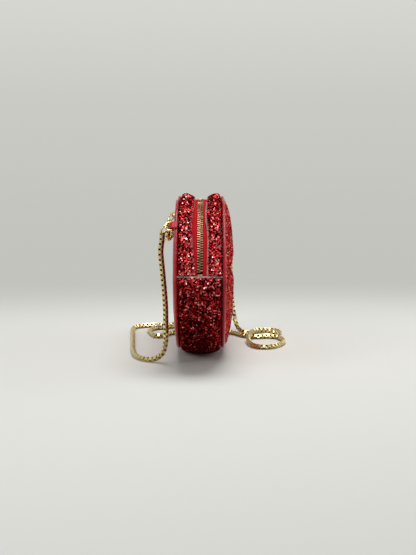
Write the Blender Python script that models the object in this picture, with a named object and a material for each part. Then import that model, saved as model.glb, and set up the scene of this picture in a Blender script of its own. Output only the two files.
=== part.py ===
"""A lip shaped crossbody bag on its chain strap, standing on its lower lip.

Metres, +Z up. X runs along the bag from mouth corner to mouth corner, the front faces -Y, and the
origin is on the small flat that the bag stands on, midway between its two seams.
"""

import math

import bmesh
import bpy
from mathutils import Matrix, Vector

# The bag's own sizes
LENGTH = 0.240  # between the mouth corners, on the seams
SEAM_RISE = 0.1507  # from the lowest point of the seams to the upper lip's peaks
WIDTH = 0.045  # between the front seam and the back seam
CORNER_RISE = 0.0772  # from the lowest point of the seams to the mouth corners
CORNER_RADIUS = 0.018
PEAK_REACH = 0.035  # from the middle to each peak of the upper lip
BOW_DIP = 0.012  # how far the upper lip dips between its peaks
FRONT_PUFF = 0.0095  # how far the lips stand out in front of their seam
BACK_PUFF = 0.0040
MOUTH_CREASE = 0.0032  # how deep the seam between the lips lies
CREASE_REACH = 0.0080  # how far from the mouth seam the crease is felt
CLEARANCE = 0.0003  # between pieces that touch

# Sheet thicknesses
SKIN = 0.0012
BOARD = 0.0012
LINING = 0.0007
TAPE = 0.0006

# Which way the seam's outward normal points, in degrees, where one arc hands over to the next
BOTTOM_TURN, BELLY_TURN, FLANK_TURN, CORNER_TURN, SLOPE_TURN, PEAK_TURN = -90, -55, -38, 30, 55, 90

# The bottom gusset and the strips beside the zip
GUSSET_CROWN = 0.0060  # how far the bottom gusset swells below its seams
PRESSED = 0.0008  # how much of that swelling the bag's weight presses flat
STRIP_CROWN = 0.0037
ZIP_GAP = 0.0146  # between the two strips' cut edges
RECESS = 0.0022  # the zip tape's face below the seam line

# Piping
PIPING_RADIUS = 0.0015

# Zip
TAPE_SPLIT = 0.0054  # between the two tapes' inner edges
TOOTH_PITCH = 0.0028
TOOTH_ROOT = 0.0014  # a tooth's thickness along the zip, at the tape
TOOTH_HEAD = 0.0008
TOOTH_HEIGHT = 0.0024
TOOTH_PAST = 0.0005  # how far a tooth's head reaches past the middle
HEAD_SHARE = 0.65  # of the tooth's height that its head keeps
TAPE_TUCK = 0.0060  # how much of each zip end lies under the bottom gusset
STOP_LENGTH = 0.0020

# Slider and puller
SLIDER_LENGTH = 0.0090
SLIDER_FRONT = 0.0090  # its width where the teeth enter
SLIDER_REAR = 0.0078
SLIDER_WALL = 0.0008
SLIDER_PLATE = 0.0012
POST_LENGTH = 0.0030
POST_WIDTH = 0.0022
BAIL_WIDTH = 0.0012
BAIL_SPAN = 0.0064
BAIL_LEG = 0.0008
BAIL_HOLE = 0.0012  # the height under the bail
PULLER_LENGTH = 0.0200
PULLER_PLATE = 0.0008
PULLER_ARM = 0.0010
PULLER_EYE = 0.0040  # the eye's length in front of the cross bar
PULLER_TIP = 0.0062  # the puller's width at its round end
PULLER_HOLE_RADIUS = 0.0012
PULLER_LIFT = 5.0  # degrees that the hanging puller stands off the zip

# Strap fittings
TAB_CLIMB = 0.0560  # from the zip's end up the slope to the tab's middle
TAB_WIDTH = 0.0080
TAB_SKIN = 0.0010
TAB_OUT = 0.0042  # from the seam to the D-ring's bar
D_WIRE_RADIUS = 0.0009
D_INSIDE = 0.0086  # the length of its straight bar between the bow's ends
D_SIDE = 0.0022  # the straight sides between its bar and its bow
D_BOW = 0.0036  # how far the bow rises past them, on centre lines
RING_WIRE_RADIUS = 0.0008
RING_RADIUS = 0.0047  # to the middle of the wire
RING_DROP = 0.0027  # from the D-ring's bow down to the ring's middle
RING_OUT = 0.0010  # and from the bow away from the bag
RING_SLIDE = 0.0015  # how far each ring has slid along the bow, away from the bag's middle
RING_YAW = 55.0  # degrees that each ring is turned from facing along the bag
RING_LEAN = 30.0  # degrees that it leans back

# Chain
CHAIN_DIAMETER = 0.0050

# How finely round things are cut
COLUMNS = 30
GUSSET_STATIONS = 26
STRIP_STATIONS = 32
PIPING_SIDES = 6
WIRE_SIDES = 6
BOW_STEPS = 8
RING_STEPS = 18
CHAIN_TURN = 28.0  # degrees that the chain's tube turns at one of its points, about

HALF = WIDTH / 2
FLOOR_RISE = GUSSET_CROWN + SKIN / 2 - PRESSED  # the height of the seams' lowest point
FREE_HALF = HALF - PIPING_RADIUS - CLEARANCE  # where gusset and strips stop, beside the piping
RIM = PIPING_RADIUS + CLEARANCE  # the panels stop this far inside the seam line

LEATHER = ("red_leather", (0.62, 0.055, 0.10), 0.42, 0.0)
GLITTER = ("glitter_leather", (0.50, 0.02, 0.03), 0.35, 0.3)
TAPE_RED = ("zip_tape", (0.74, 0.03, 0.07), 0.7, 0.0)
FOAM = ("foam", (0.80, 0.78, 0.70), 0.9, 0.0)
CARD = ("board", (0.45, 0.38, 0.30), 0.8, 0.0)
CLOTH = ("lining_cloth", (0.10, 0.02, 0.03), 0.8, 0.0)
OLD_BRASS = ("antique_brass", (0.45, 0.33, 0.18), 0.35, 1.0)
GOLD = ("pale_gold", (0.83, 0.70, 0.38), 0.25, 1.0)


def material(look, name):
    """A material of this look for one piece."""
    kind, colour, roughness, metallic = look
    made = bpy.data.materials.new(f"{name}_{kind}")
    made.use_nodes = True
    shader = made.node_tree.nodes["Principled BSDF"]
    shader.inputs["Base Color"].default_value = (*colour, 1.0)
    shader.inputs["Roughness"].default_value = roughness
    shader.inputs["Metallic"].default_value = metallic
    return made


def add_object(name, data, look=None, place=Matrix()):
    """Puts a mesh or a curve in the scene; without a look it is only used to cut or to join."""
    made = bpy.data.objects.new(name, data)
    made.matrix_world = place
    bpy.context.scene.collection.objects.link(made)
    if look:
        data.materials.append(material(look, name))
    else:
        made.hide_render = True
        made.display_type = "WIRE"
    return made


def closed_mesh(name, points, faces, smooth=True):
    """A mesh of one or more closed bodies, with every face turned outwards."""
    mesh = bpy.data.meshes.new(name)
    mesh.from_pydata([tuple(p) for p in points], [], faces)
    work = bmesh.new()
    work.from_mesh(mesh)
    bmesh.ops.recalc_face_normals(work, faces=work.faces)
    work.to_mesh(mesh)
    work.free()
    if smooth:
        mesh.shade_smooth()
        mesh.set_sharp_from_angle(angle=math.radians(40))
    return mesh


def loft(rings, cyclic=False):
    """Points and faces of a skin through closed rings of points, capped unless it closes on itself."""
    count = len(rings[0])
    points = [p for ring in rings for p in ring]
    faces = []
    for r in range(len(rings) if cyclic else len(rings) - 1):
        here = r * count
        there = (r + 1) % len(rings) * count
        for i in range(count):
            j = (i + 1) % count
            faces.append((here + i, here + j, there + j, there + i))
    if not cyclic:
        faces.append(tuple(range(count)))
        faces.append(tuple(range(len(points) - count, len(points))))
    return points, faces


def joined(bodies):
    """Several bodies' points and faces as one list of each."""
    points, faces = [], []
    for some_points, some_faces in bodies:
        start = len(points)
        points += some_points
        faces += [tuple(start + i for i in face) for face in some_faces]
    return points, faces


def tube(path, radius, sides, closed):
    """A round wire of this radius along a path of points."""
    count = len(path)
    rings = []
    side = None
    for i, here in enumerate(path):
        before = path[(i - 1) % count] if closed or i else here
        after = path[(i + 1) % count] if closed or i + 1 < count else here
        along = (after - before).normalized()
        side = along.orthogonal() if side is None else side - along * side.dot(along)
        side.normalize()
        other = along.cross(side)
        turns = [2 * math.pi * k / sides for k in range(sides)]
        rings.append([here + radius * (math.cos(a) * side + math.sin(a) * other) for a in turns])
    return loft(rings, cyclic=closed)


# The seam line


def normal_at(degrees):
    return Vector((math.cos(math.radians(degrees)), math.sin(math.radians(degrees))))


def arc_centre(start, turn, radius):
    """The centre of the arc that begins at a point where the normal has this direction."""
    return start - radius * normal_at(turn)


def two_arcs(start, end, turns):
    """Two arcs that run from start to end, with the normal's direction given at all three places."""
    first = normal_at(turns[1]) - normal_at(turns[0])
    second = normal_at(turns[2]) - normal_at(turns[1])
    step = end - start
    scale = first.cross(second)
    radii = (step.cross(second) / scale, first.cross(step) / scale)
    centre = arc_centre(start, turns[0], radii[0])
    middle = centre + radii[0] * normal_at(turns[1])
    return [
        (centre, radii[0], turns[0], turns[1]),
        (arc_centre(middle, turns[1], radii[1]), radii[1], turns[1], turns[2]),
    ]


def half_seam():
    """The right half of the lip outline as arcs, from the bottom to the dip of the upper lip."""
    bottom = Vector((0, FLOOR_RISE))
    corner = Vector((LENGTH / 2 - CORNER_RADIUS, FLOOR_RISE + CORNER_RISE))
    peak = Vector((PEAK_REACH, FLOOR_RISE + SEAM_RISE))
    flank_end = corner + CORNER_RADIUS * normal_at(FLANK_TURN)
    slope_start = corner + CORNER_RADIUS * normal_at(CORNER_TURN)
    lower = two_arcs(bottom, flank_end, (BOTTOM_TURN, BELLY_TURN, FLANK_TURN))
    upper = two_arcs(slope_start, peak, (CORNER_TURN, SLOPE_TURN, PEAK_TURN))
    bend = 2 * math.atan(BOW_DIP / PEAK_REACH)
    bow_radius = PEAK_REACH / math.sin(bend) / 2
    bow_turn = PEAK_TURN + math.degrees(bend)
    crest = arc_centre(peak, PEAK_TURN, bow_radius)
    change = crest + bow_radius * normal_at(bow_turn)
    dip = arc_centre(change, bow_turn, -bow_radius)
    round_corner = [(corner, CORNER_RADIUS, FLANK_TURN, CORNER_TURN)]
    bow = [(crest, bow_radius, PEAK_TURN, bow_turn), (dip, -bow_radius, bow_turn, PEAK_TURN)]
    return lower + round_corner + upper + bow


def arc_length(arc):
    return abs(arc[1] * math.radians(arc[3] - arc[2]))


HALF_SEAM = half_seam()
SLOPE = HALF_SEAM[3]
CORNER_S = sum(map(arc_length, HALF_SEAM[:2])) + CORNER_RADIUS * math.radians(-FLANK_TURN)
ZIP_S = sum(map(arc_length, HALF_SEAM[:3]))
TOP_S = sum(map(arc_length, HALF_SEAM))


def seam(s):
    """The seam's point and outward normal in the XZ plane, s along it from the bottom.

    The right half has s up to TOP_S; going on past the top, or below 0, comes to the left half."""
    if s > TOP_S:
        s -= 2 * TOP_S
    left = abs(s)
    for centre, radius, start, end in HALF_SEAM:
        length = arc_length((centre, radius, start, end))
        if left <= length or (centre, radius) == HALF_SEAM[-1][:2]:
            break
        left -= length
    normal = normal_at(start + (end - start) * min(left / length, 1))
    point = centre + radius * normal
    if s < 0:
        return Vector((-point.x, point.y)), Vector((-normal.x, normal.y))
    return point, normal


def at(s, y, out):
    """A point s along the seam, at depth y, this far outside the seam line."""
    point, normal = seam(s)
    return Vector((point.x + out * normal.x, y, point.y + out * normal.y))


def seam_frame(s, y, out):
    """A frame at such a point: X up the right-hand slope, Y to the back and Z outwards."""
    _, normal = seam(s)
    axes = Matrix(((-normal.y, 0, normal.x), (0, 1, 0), (normal.x, 0, normal.y)))
    return Matrix.Translation(at(s, y, out)) @ axes.to_4x4() @ Matrix.Diagonal((1, -1, 1, 1))


def over_the_top(share, first):
    """The place along the seam at this share of the way over the top, from the right to the left."""
    return first + 2 * share * (TOP_S - first)


def bands(sections, stations):
    """A solid whose section of (depth, out) pairs is carried along the seam."""
    return loft([[at(s, y, out) for y, out in sections(s)] for s in stations])


# The faces: front and back panels with what is behind them

END_SHARE = 0.013  # the faces' blunt ends begin this share of the way round each corner
LIP_SHARES = (0, 0.1, 0.3, 0.6, 0.84, 1)
BACK_SHARES = (0, 0.05, 0.2, 0.5, 0.8, 0.95, 1)
MOUTH_SHARE = 0.53  # how far up from the lower seam the mouth lies, in the middle
MOUTH_WAVE_SHARE = 0.035


def columns(inset, count=COLUMNS):
    """The face's columns: pairs of points on the lower and the upper seam line, this far inside it."""
    pairs = []
    for i in range(count):
        share = END_SHARE + (1 - 2 * END_SHARE) * i / (count - 1)
        low = at(CORNER_S * (1 - 2 * share), 0, -inset)
        high = at(over_the_top(share, CORNER_S), 0, -inset)
        pairs.append((low, high))
    return pairs


def mouth_share(i, count=COLUMNS):
    """How far up column i the mouth line lies: a shallow bow on each side of a low middle."""
    across = abs(2 * i / (count - 1) - 1)
    return MOUTH_SHARE + MOUTH_WAVE_SHARE * math.sin(math.pi * across)


def swelling(low, high, share, puff):
    """How far a padded face stands out at this share of a column."""
    full = SEAM_RISE - BOW_DIP
    size = min((high - low).length / full, 1)
    return puff * size**0.8 * math.sqrt(max(4 * share * (1 - share), 0))


def crease(low, high, share, mouth):
    away = (share - mouth) * (high - low).length / CREASE_REACH
    size = min((high - low).length / SEAM_RISE * 2, 1)
    return MOUTH_CREASE * size * math.exp(-away * away)


def face_grid(pairs, shares, puff, creased):
    """Rows of points on a face, each with its swelling, column by column."""
    grid = []
    for i, (low, high) in enumerate(pairs):
        mouth = mouth_share(i, len(pairs))
        line = []
        for share in shares(mouth):
            out = swelling(low, high, share, puff)
            if creased:
                out -= crease(low, high, share, mouth)
            line.append((low.lerp(high, share), out))
        grid.append(line)
    return grid


def shell(grid, side, face, thickness):
    """A closed sheet over a grid: its face is at depth face plus the swelling, on this side."""
    rows = len(grid[0])
    outer = [Vector((p.x, side * (face + out), p.z)) for line in grid for p, out in line]
    inner = [Vector((p.x, side * (face + out - thickness), p.z)) for line in grid for p, out in line]
    points = outer + inner
    faces = []
    for i in range(len(grid) - 1):
        for j in range(rows - 1):
            a = i * rows + j
            quad = (a, a + 1, a + rows + 1, a + rows)
            faces.append(quad)
            faces.append(tuple(len(outer) + k for k in reversed(quad)))
    rim = rim_of(len(grid), rows)
    for a, b in zip(rim, rim[1:] + rim[:1]):
        faces.append((a, b, b + len(outer), a + len(outer)))
    return points, faces


def rim_of(count, rows):
    """The indices round the edge of a grid of count columns."""
    up = [i * rows for i in range(count)]
    end = [(count - 1) * rows + j for j in range(1, rows)]
    back = [i * rows + rows - 1 for i in reversed(range(count - 1))]
    return up + end + back + list(range(rows - 2, 0, -1))


def lip_rows(upper):
    """The shares of a column that one lip's rows lie at, from its own seam to the mouth."""

    def rows(mouth):
        gap = CLEARANCE / 2 / SEAM_RISE
        if upper:
            return [1 - (1 - mouth - gap) * share for share in LIP_SHARES]
        return [(mouth - gap) * share for share in LIP_SHARES]

    return rows


def lip_panels():
    """The glitter panels of the two lips, sewn to each other along the mouth."""
    for name, upper in (("front_lower_lip", False), ("front_upper_lip", True)):
        grid = face_grid(columns(RIM), lip_rows(upper), FRONT_PUFF, True)
        add_object(name, closed_mesh(name, *shell(grid, -1, HALF + SKIN / 2, SKIN)), GLITTER)


def back_panel():
    grid = face_grid(columns(RIM), lambda mouth: BACK_SHARES, BACK_PUFF, False)
    skin = shell(grid, 1, HALF + SKIN / 2, SKIN)
    add_object("back_panel", closed_mesh("back_panel", *skin), LEATHER)


BOARD_FACE = HALF - SKIN / 2 - 2 * CLEARANCE - SKIN  # the boards' outer faces, under the padding
PAD_INSET = 0.0040


def padding(name, side, puff, shares, creased):
    """Foam that fills a puffy panel out: swollen outside, flat against its board."""
    grid = face_grid(columns(PAD_INSET), shares, puff, creased)
    face = HALF - SKIN / 2 - CLEARANCE
    rows = len(grid[0])
    points = [Vector((p.x, side * (face + out), p.z)) for line in grid for p, out in line]
    rim = rim_of(len(grid), rows)
    faces = []
    for i in range(len(grid) - 1):
        for j in range(rows - 1):
            a = i * rows + j
            faces.append((a, a + 1, a + rows + 1, a + rows))
    back = len(points)
    points += [Vector((points[k].x, side * (BOARD_FACE + CLEARANCE), points[k].z)) for k in rim]
    for k in range(len(rim)):
        n = (k + 1) % len(rim)
        faces.append((rim[k], rim[n], back + n, back + k))
    faces.append(tuple(range(back, back + len(rim))))
    add_object(name, closed_mesh(name, points, faces), FOAM)


def both_lips(mouth):
    lower = [mouth * share for share in LIP_SHARES]
    upper = [1 - (1 - mouth) * share for share in reversed(LIP_SHARES)]
    return lower + upper[1:]


def face_outline(inset):
    """The lip outline as one loop of points, this far inside the seam line."""
    pairs = columns(inset)
    return [low for low, _ in pairs] + [high for _, high in reversed(pairs)]


def board(name, side):
    """A flat stiffening board cut to the lip outline, behind the padding."""
    outline = face_outline(RIM + SKIN)
    rings = []
    for depth in (BOARD_FACE, BOARD_FACE - BOARD):
        rings.append([Vector((p.x, side * depth, p.z)) for p in outline])
    add_object(name, closed_mesh(name, *loft(rings)), CARD)


def piping(name, side):
    """A leather covered cord sewn in along the whole seam."""
    path = [Vector((p.x, side * HALF, p.z)) for p in face_outline(0)]
    add_object(name, closed_mesh(name, *tube(path, PIPING_RADIUS, PIPING_SIDES, True)), LEATHER)


# Between the faces: gusset, strips, zip and lining


def bottom_gusset():
    """The glitter band under the bag, from one end of the zip round to the other, with cut ends."""
    shares = (-1, -0.86, -0.6, -0.3, 0, 0.3, 0.6, 0.86, 1)

    def section(s):
        crown = GUSSET_CROWN * (1 - (s / ZIP_S) ** 6)
        top = [(FREE_HALF * v, SKIN / 2 + crown * (1 - v**4)) for v in shares]
        return top + [(y, out - SKIN) for y, out in reversed(top)]

    stations = [ZIP_S * (2 * i / GUSSET_STATIONS - 1) for i in range(GUSSET_STATIONS + 1)]
    points, faces = bands(section, stations)
    count = 2 * len(shares)
    for i, point in enumerate(points):
        lowest = 0 if i % count < len(shares) else SKIN
        point.z = max(point.z, lowest)
    add_object("bottom_gusset", closed_mesh("bottom_gusset", points, faces), GLITTER)


def zip_strip(name, side):
    """A puffy glitter strip between one seam and the zip, its cut edge lying on the tape."""
    shares = (0, 0.16, 0.38, 0.64, 0.88, 1)
    inner = ZIP_GAP / 2
    edge_out = SKIN / 2
    edge_in = CLEARANCE + SKIN - RECESS

    def section(s):
        from_end = min((TOP_S - abs(TOP_S - s)) - ZIP_S, 4 * STRIP_CROWN) / STRIP_CROWN / 4
        crown = STRIP_CROWN * (0.3 + 0.7 * math.sin(from_end * math.pi / 2))
        top = []
        for v in shares:
            base = edge_out + (edge_in - edge_out) * v
            swell = crown * math.sin(math.pi * v) ** 0.7 if 0 < v < 1 else 0
            top.append((side * (FREE_HALF + (inner - FREE_HALF) * v), base + swell))
        return top + [(y, out - SKIN) for y, out in reversed(top)]

    first = ZIP_S + CLEARANCE
    stations = [over_the_top(i / STRIP_STATIONS, first) for i in range(STRIP_STATIONS + 1)]
    add_object(name, closed_mesh(name, *bands(section, stations)), GLITTER)


def zip_tape(name, side):
    """One woven tape, under its strip and with both ends tucked under the bottom gusset."""
    inner = TAPE_SPLIT / 2
    outer = BOARD_FACE - BOARD - CLEARANCE

    def section(s):
        tucked = max(ZIP_S + CLEARANCE - TOP_S + abs(TOP_S - s), 0)
        low = -RECESS - min(tucked, TAPE)
        return [
            (side * inner, low),
            (side * outer, low),
            (side * outer, low - TAPE),
            (side * inner, low - TAPE),
        ]

    first = ZIP_S - TAPE_TUCK
    stations = [over_the_top(i / STRIP_STATIONS, first) for i in range(STRIP_STATIONS + 1)]
    tape = closed_mesh(name, *bands(section, stations), smooth=False)
    return add_object(name, tape, TAPE_RED)


TOOTH_MIDDLE = -RECESS - TAPE / 2
STOP_S = ZIP_S + 2 * CLEARANCE + STOP_LENGTH / 2
PARK_S = STOP_S + STOP_LENGTH / 2 + 2 * CLEARANCE + SLIDER_LENGTH / 2


def tooth(s, side):
    """One metal tooth, wide at the tape's edge and slimmer where it reaches past the middle."""
    steps = (
        (TAPE_SPLIT / 2, TOOTH_ROOT, TOOTH_HEIGHT),
        (-TOOTH_PAST, TOOTH_HEAD, TOOTH_HEIGHT * HEAD_SHARE),
    )
    rings = []
    for y, thick, tall in steps:
        ring = []
        for a, b in ((-1, -1), (1, -1), (1, 1), (-1, 1)):
            ring.append(at(s + a * thick / 2, side * y, TOOTH_MIDDLE + b * tall / 2))
        rings.append(ring)
    return loft(rings)


def zip_half(name, side):
    """A tape with its row of teeth, which runs from the parked slider over the top to the near end,
    and with its top stop in front of the slider. The two rows mesh."""
    start = PARK_S + TOOTH_ROOT / 2 + (side + 1) * TOOTH_PITCH / 4
    run = 2 * TOP_S - start - STOP_S - STOP_LENGTH / 2 - CLEARANCE - TOOTH_ROOT
    metal = [stop_block(STOP_S, (side * STOP_INSIDE, side * SLIDER_REAR / 2))]
    for i in range(int(run / TOOTH_PITCH) + 1):
        metal.append(tooth(start + i * TOOTH_PITCH, side))
    clamp = zip_tape(name, side).modifiers.new("teeth", "BOOLEAN")
    clamp.operation = "UNION"
    clamp.solver = "EXACT"
    row = closed_mesh(f"{name}_teeth", *joined(metal), smooth=False)
    clamp.object = add_object(f"{name}_teeth", row)


STOP_INSIDE = TAPE_SPLIT / 2 - TOOTH_ROOT


def stop_block(s, depths):
    """A small stamped block over the tape's edge, as tall as the teeth, between these depths."""
    rings = []
    for end in (s - STOP_LENGTH / 2, s + STOP_LENGTH / 2):
        ring = []
        for a, b in ((0, -1), (1, -1), (1, 1), (0, 1)):
            ring.append(at(end, depths[a], TOOTH_MIDDLE + b * TOOTH_HEIGHT / 2))
        rings.append(ring)
    return loft(rings)


def zip_bottom_stop():
    """The one stop that holds both tapes together at the near end."""
    reach = TAPE_SPLIT / 2 - CLEARANCE
    block = closed_mesh("zip_bottom_stop", *stop_block(-STOP_S, (-reach, reach)), smooth=False)
    add_object("zip_bottom_stop", block, OLD_BRASS)


def lining():
    """The cloth bag inside: two walls and the band between them, open along the zip."""
    outer = BOARD_FACE - BOARD - CLEARANCE
    top_inset = RECESS + 2 * TAPE + 3 * CLEARANCE
    count = 26
    rings = []
    for i in range(count):
        share = 2 * END_SHARE + (1 - 4 * END_SHARE) * i / (count - 1)
        high = at(over_the_top(share, CORNER_S), 0, -top_inset)
        low = at(CORNER_S * (1 - 2 * share), 0, -PAD_INSET)
        raised = at(CORNER_S * (1 - 2 * share), 0, -PAD_INSET - LINING)
        section = [(high, -outer), (low, -outer), (low, outer), (high, outer)]
        inner = outer - LINING
        section += [(high, inner), (raised, inner), (raised, -inner), (high, -inner)]
        rings.append([Vector((p.x, y, p.z)) for p, y in section])
    add_object("lining", closed_mesh("lining", *loft(rings)), CLOTH)


# The slider and its puller, in a frame at the parked slider with X up the slope and Z outwards

PLATE_TOP = TOOTH_MIDDLE + TOOTH_HEIGHT / 2 + CLEARANCE + SLIDER_PLATE
PIVOT_OUT = PLATE_TOP + BAIL_HOLE / 2


def channel(face, back, lip):
    """One plate of the slider with its two edge walls: face is inside, back outside, lip the edges."""
    rings = []
    for x, width in (
        (-SLIDER_LENGTH / 2, SLIDER_FRONT * 0.9),
        (-SLIDER_LENGTH / 4, SLIDER_FRONT),
        (SLIDER_LENGTH / 4, SLIDER_REAR),
        (SLIDER_LENGTH / 2, SLIDER_REAR * 0.96),
    ):
        half = width / 2
        wall = half - SLIDER_WALL
        ring = [(-half, back), (half, back), (half, lip), (wall, lip), (wall, face)]
        ring += [(-wall, face), (-wall, lip), (-half, lip)]
        rings.append([Vector((x, y, z)) for y, z in ring])
    return loft(rings)


def zip_slider():
    """The slider: two channelled plates joined by the wedge that parts the teeth, and a bail on top."""
    here = seam_frame(PARK_S, 0, 0)
    top_face = PLATE_TOP - SLIDER_PLATE
    bottom_face = 2 * TOOTH_MIDDLE - top_face
    top_lip = CLEARANCE - RECESS
    bottom_lip = -RECESS - TAPE - CLEARANCE
    top = closed_mesh("zip_slider", *channel(top_face, PLATE_TOP, top_lip), smooth=False)
    slider = add_object("zip_slider", top, OLD_BRASS, here)
    under = closed_mesh("under", *channel(bottom_face, bottom_face - SLIDER_PLATE, bottom_lip))
    sunk = SLIDER_PLATE / 4
    post_at = -SLIDER_LENGTH / 2 + POST_LENGTH / 2 + CLEARANCE
    rings = []
    for z in (bottom_face - sunk, top_face + sunk):
        corners = ((-1, 0), (0, -1), (1, 0), (0, 1))
        rings.append([Vector((post_at + a * POST_LENGTH / 2, b * POST_WIDTH / 2, z)) for a, b in corners])
    post = closed_mesh("post", *loft(rings))
    outside = [(-1, -sunk), (-1, BAIL_HOLE), (-0.7, BAIL_HOLE + BAIL_LEG)]
    outside += [(-a, z) for a, z in reversed(outside)]
    rings = []
    for y in (-BAIL_WIDTH / 2, BAIL_WIDTH / 2):
        outer = [Vector((a * BAIL_SPAN / 2, y, PLATE_TOP + z)) for a, z in outside]
        leg = BAIL_SPAN / 2 - BAIL_LEG
        inner = [(leg, -sunk), (leg, BAIL_HOLE), (-leg, BAIL_HOLE), (-leg, -sunk)]
        rings.append(outer + [Vector((x, y, PLATE_TOP + z)) for x, z in inner])
    bail = closed_mesh("bail", *loft(rings))
    for name, mesh in (("under", under), ("post", post), ("bail", bail)):
        weld = slider.modifiers.new(name, "BOOLEAN")
        weld.operation = "UNION"
        weld.solver = "EXACT"
        weld.object = add_object(f"slider_{name}", mesh, place=here)
    return slider


def plate(outline, thickness):
    """A flat plate of this outline, centred on its own plane."""
    rings = [[Vector((x, y, z)) for x, y in outline] for z in (-thickness / 2, thickness / 2)]
    return loft(rings)


def round_end(centre, radius, start, end, steps=8):
    """Points of an arc in the plate's plane."""
    points = []
    for k in range(steps + 1):
        angle = math.radians(start + (end - start) * k / steps)
        points.append((centre + radius * math.cos(angle), radius * math.sin(angle)))
    return points


def zip_puller():
    """The puller: a flat drop with an eye, whose cross bar turns under the slider's bail."""
    pivot = seam_frame(PARK_S, 0, PIVOT_OUT)
    here = pivot @ Matrix.Rotation(math.radians(180 + PULLER_LIFT), 4, "Y")
    bar = PULLER_PLATE / 2
    half = BAIL_WIDTH / 2 + CLEARANCE + PULLER_ARM
    tip = PULLER_LENGTH - PULLER_TIP / 2
    outline = [(-bar, -half), (PULLER_EYE + bar, -half)]
    outline += round_end(tip, PULLER_TIP / 2, -80, 80)
    outline += [(PULLER_EYE + bar, half), (-bar, half)]
    puller = closed_mesh("zip_puller", *plate(outline, PULLER_PLATE), smooth=False)
    made = add_object("zip_puller", puller, OLD_BRASS, here)
    wide = half - PULLER_ARM
    eye = [(bar, -wide), (bar + PULLER_EYE, -wide), (bar + PULLER_EYE, wide), (bar, wide)]
    hole = round_end(tip, PULLER_HOLE_RADIUS, 0, 315, 7)
    for name, cut in (("eye", eye), ("hole", hole)):
        saw = made.modifiers.new(name, "BOOLEAN")
        saw.operation = "DIFFERENCE"
        saw.solver = "EXACT"
        mesh = closed_mesh(name, *plate(cut, 3 * PULLER_PLATE))
        saw.object = add_object(f"puller_{name}", mesh, place=here)
    return made


# Strap tabs and rings, at the same height on both slopes

TAB_S = ZIP_S + TAB_CLIMB
BAR_Y = HALF + TAB_OUT
BOW_Y = BAR_Y + D_SIDE + D_BOW


def strap_tab(name, end):
    """A folded leather tab sewn into the back seam: it wraps the piping and holds the D-ring's bar."""
    inside = PIPING_RADIUS + CLEARANCE
    middle = inside + TAB_SKIN / 2
    bend = BAR_Y - inside + D_WIRE_RADIUS + CLEARANCE
    steps = 8
    path = [(HALF - PIPING_RADIUS + TAB_SKIN / 2, middle, 90)]
    for k in range(steps + 1):
        path.append((bend, 0, 90 - 180 * k / steps))
    path.append((HALF + SKIN + TAB_SKIN, -middle, -90))
    outer, inner = [], []
    for y, out, turn in path:
        lean = normal_at(turn)
        radius = middle if out == 0 else 0
        for line, offset in ((outer, TAB_SKIN / 2), (inner, -TAB_SKIN / 2)):
            line.append((y + (radius + offset) * lean.x, out + (radius + offset) * lean.y))
    loop = outer + inner[::-1]
    rings = []
    for across in (-TAB_WIDTH / 2, TAB_WIDTH / 2):
        rings.append([at(end * (TAB_S + across), y, out) for y, out in loop])
    add_object(name, closed_mesh(name, *loft(rings)), LEATHER)


def bar_frame(end):
    """A frame on the middle of a D-ring's bar: X up along the bar and Y out to the back."""
    point = at(end * TAB_S, BAR_Y, 0)
    _, normal = seam(end * TAB_S)
    up = Vector((-end * normal.y, 0, end * normal.x))
    back = Vector((0, 1, 0))
    frame = Matrix((up, back, up.cross(back))).transposed()
    return Matrix.Translation(point) @ frame.to_4x4()


def d_ring(name, end):
    """A wire D: a straight bar in the tab and a round bow that the ring hangs on."""
    half = D_INSIDE / 2 + D_WIRE_RADIUS
    path = [Vector((-half, 0, 0)), Vector((half, 0, 0))]
    for k in range(BOW_STEPS + 1):
        angle = math.pi * k / BOW_STEPS
        path.append(Vector((half * math.cos(angle), D_SIDE + D_BOW * math.sin(angle), 0)))
    mesh = closed_mesh(name, *tube(path, D_WIRE_RADIUS, WIRE_SIDES, True))
    return add_object(name, mesh, GOLD, bar_frame(end))


def ring_frame(end):
    """A frame on a hanging ring's middle: Y and Z lie in the ring's plane, Z towards its top."""
    slid = Vector((end * RING_SLIDE, RING_OUT, -RING_DROP))
    yaw, lean = math.radians(RING_YAW), math.radians(RING_LEAN)
    across = Vector((end * math.sin(yaw), math.cos(yaw), 0))
    facing = Vector((-end * math.cos(yaw), math.sin(yaw), 0))
    top = math.cos(lean) * Vector((0, 0, 1)) - math.sin(lean) * facing
    frame = Matrix((across.cross(top), across, top)).transposed()
    return Matrix.Translation(at(end * TAB_S, BOW_Y, 0) + slid) @ frame.to_4x4()


def chain_ring(name, end):
    """The thin round ring between a D-ring and the chain."""
    path = []
    for k in range(RING_STEPS):
        angle = 2 * math.pi * k / RING_STEPS
        path.append(RING_RADIUS * Vector((0, math.cos(angle), math.sin(angle))))
    mesh = closed_mesh(name, *tube(path, RING_WIRE_RADIUS, WIRE_SIDES, True))
    return add_object(name, mesh, GOLD, ring_frame(end))


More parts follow.
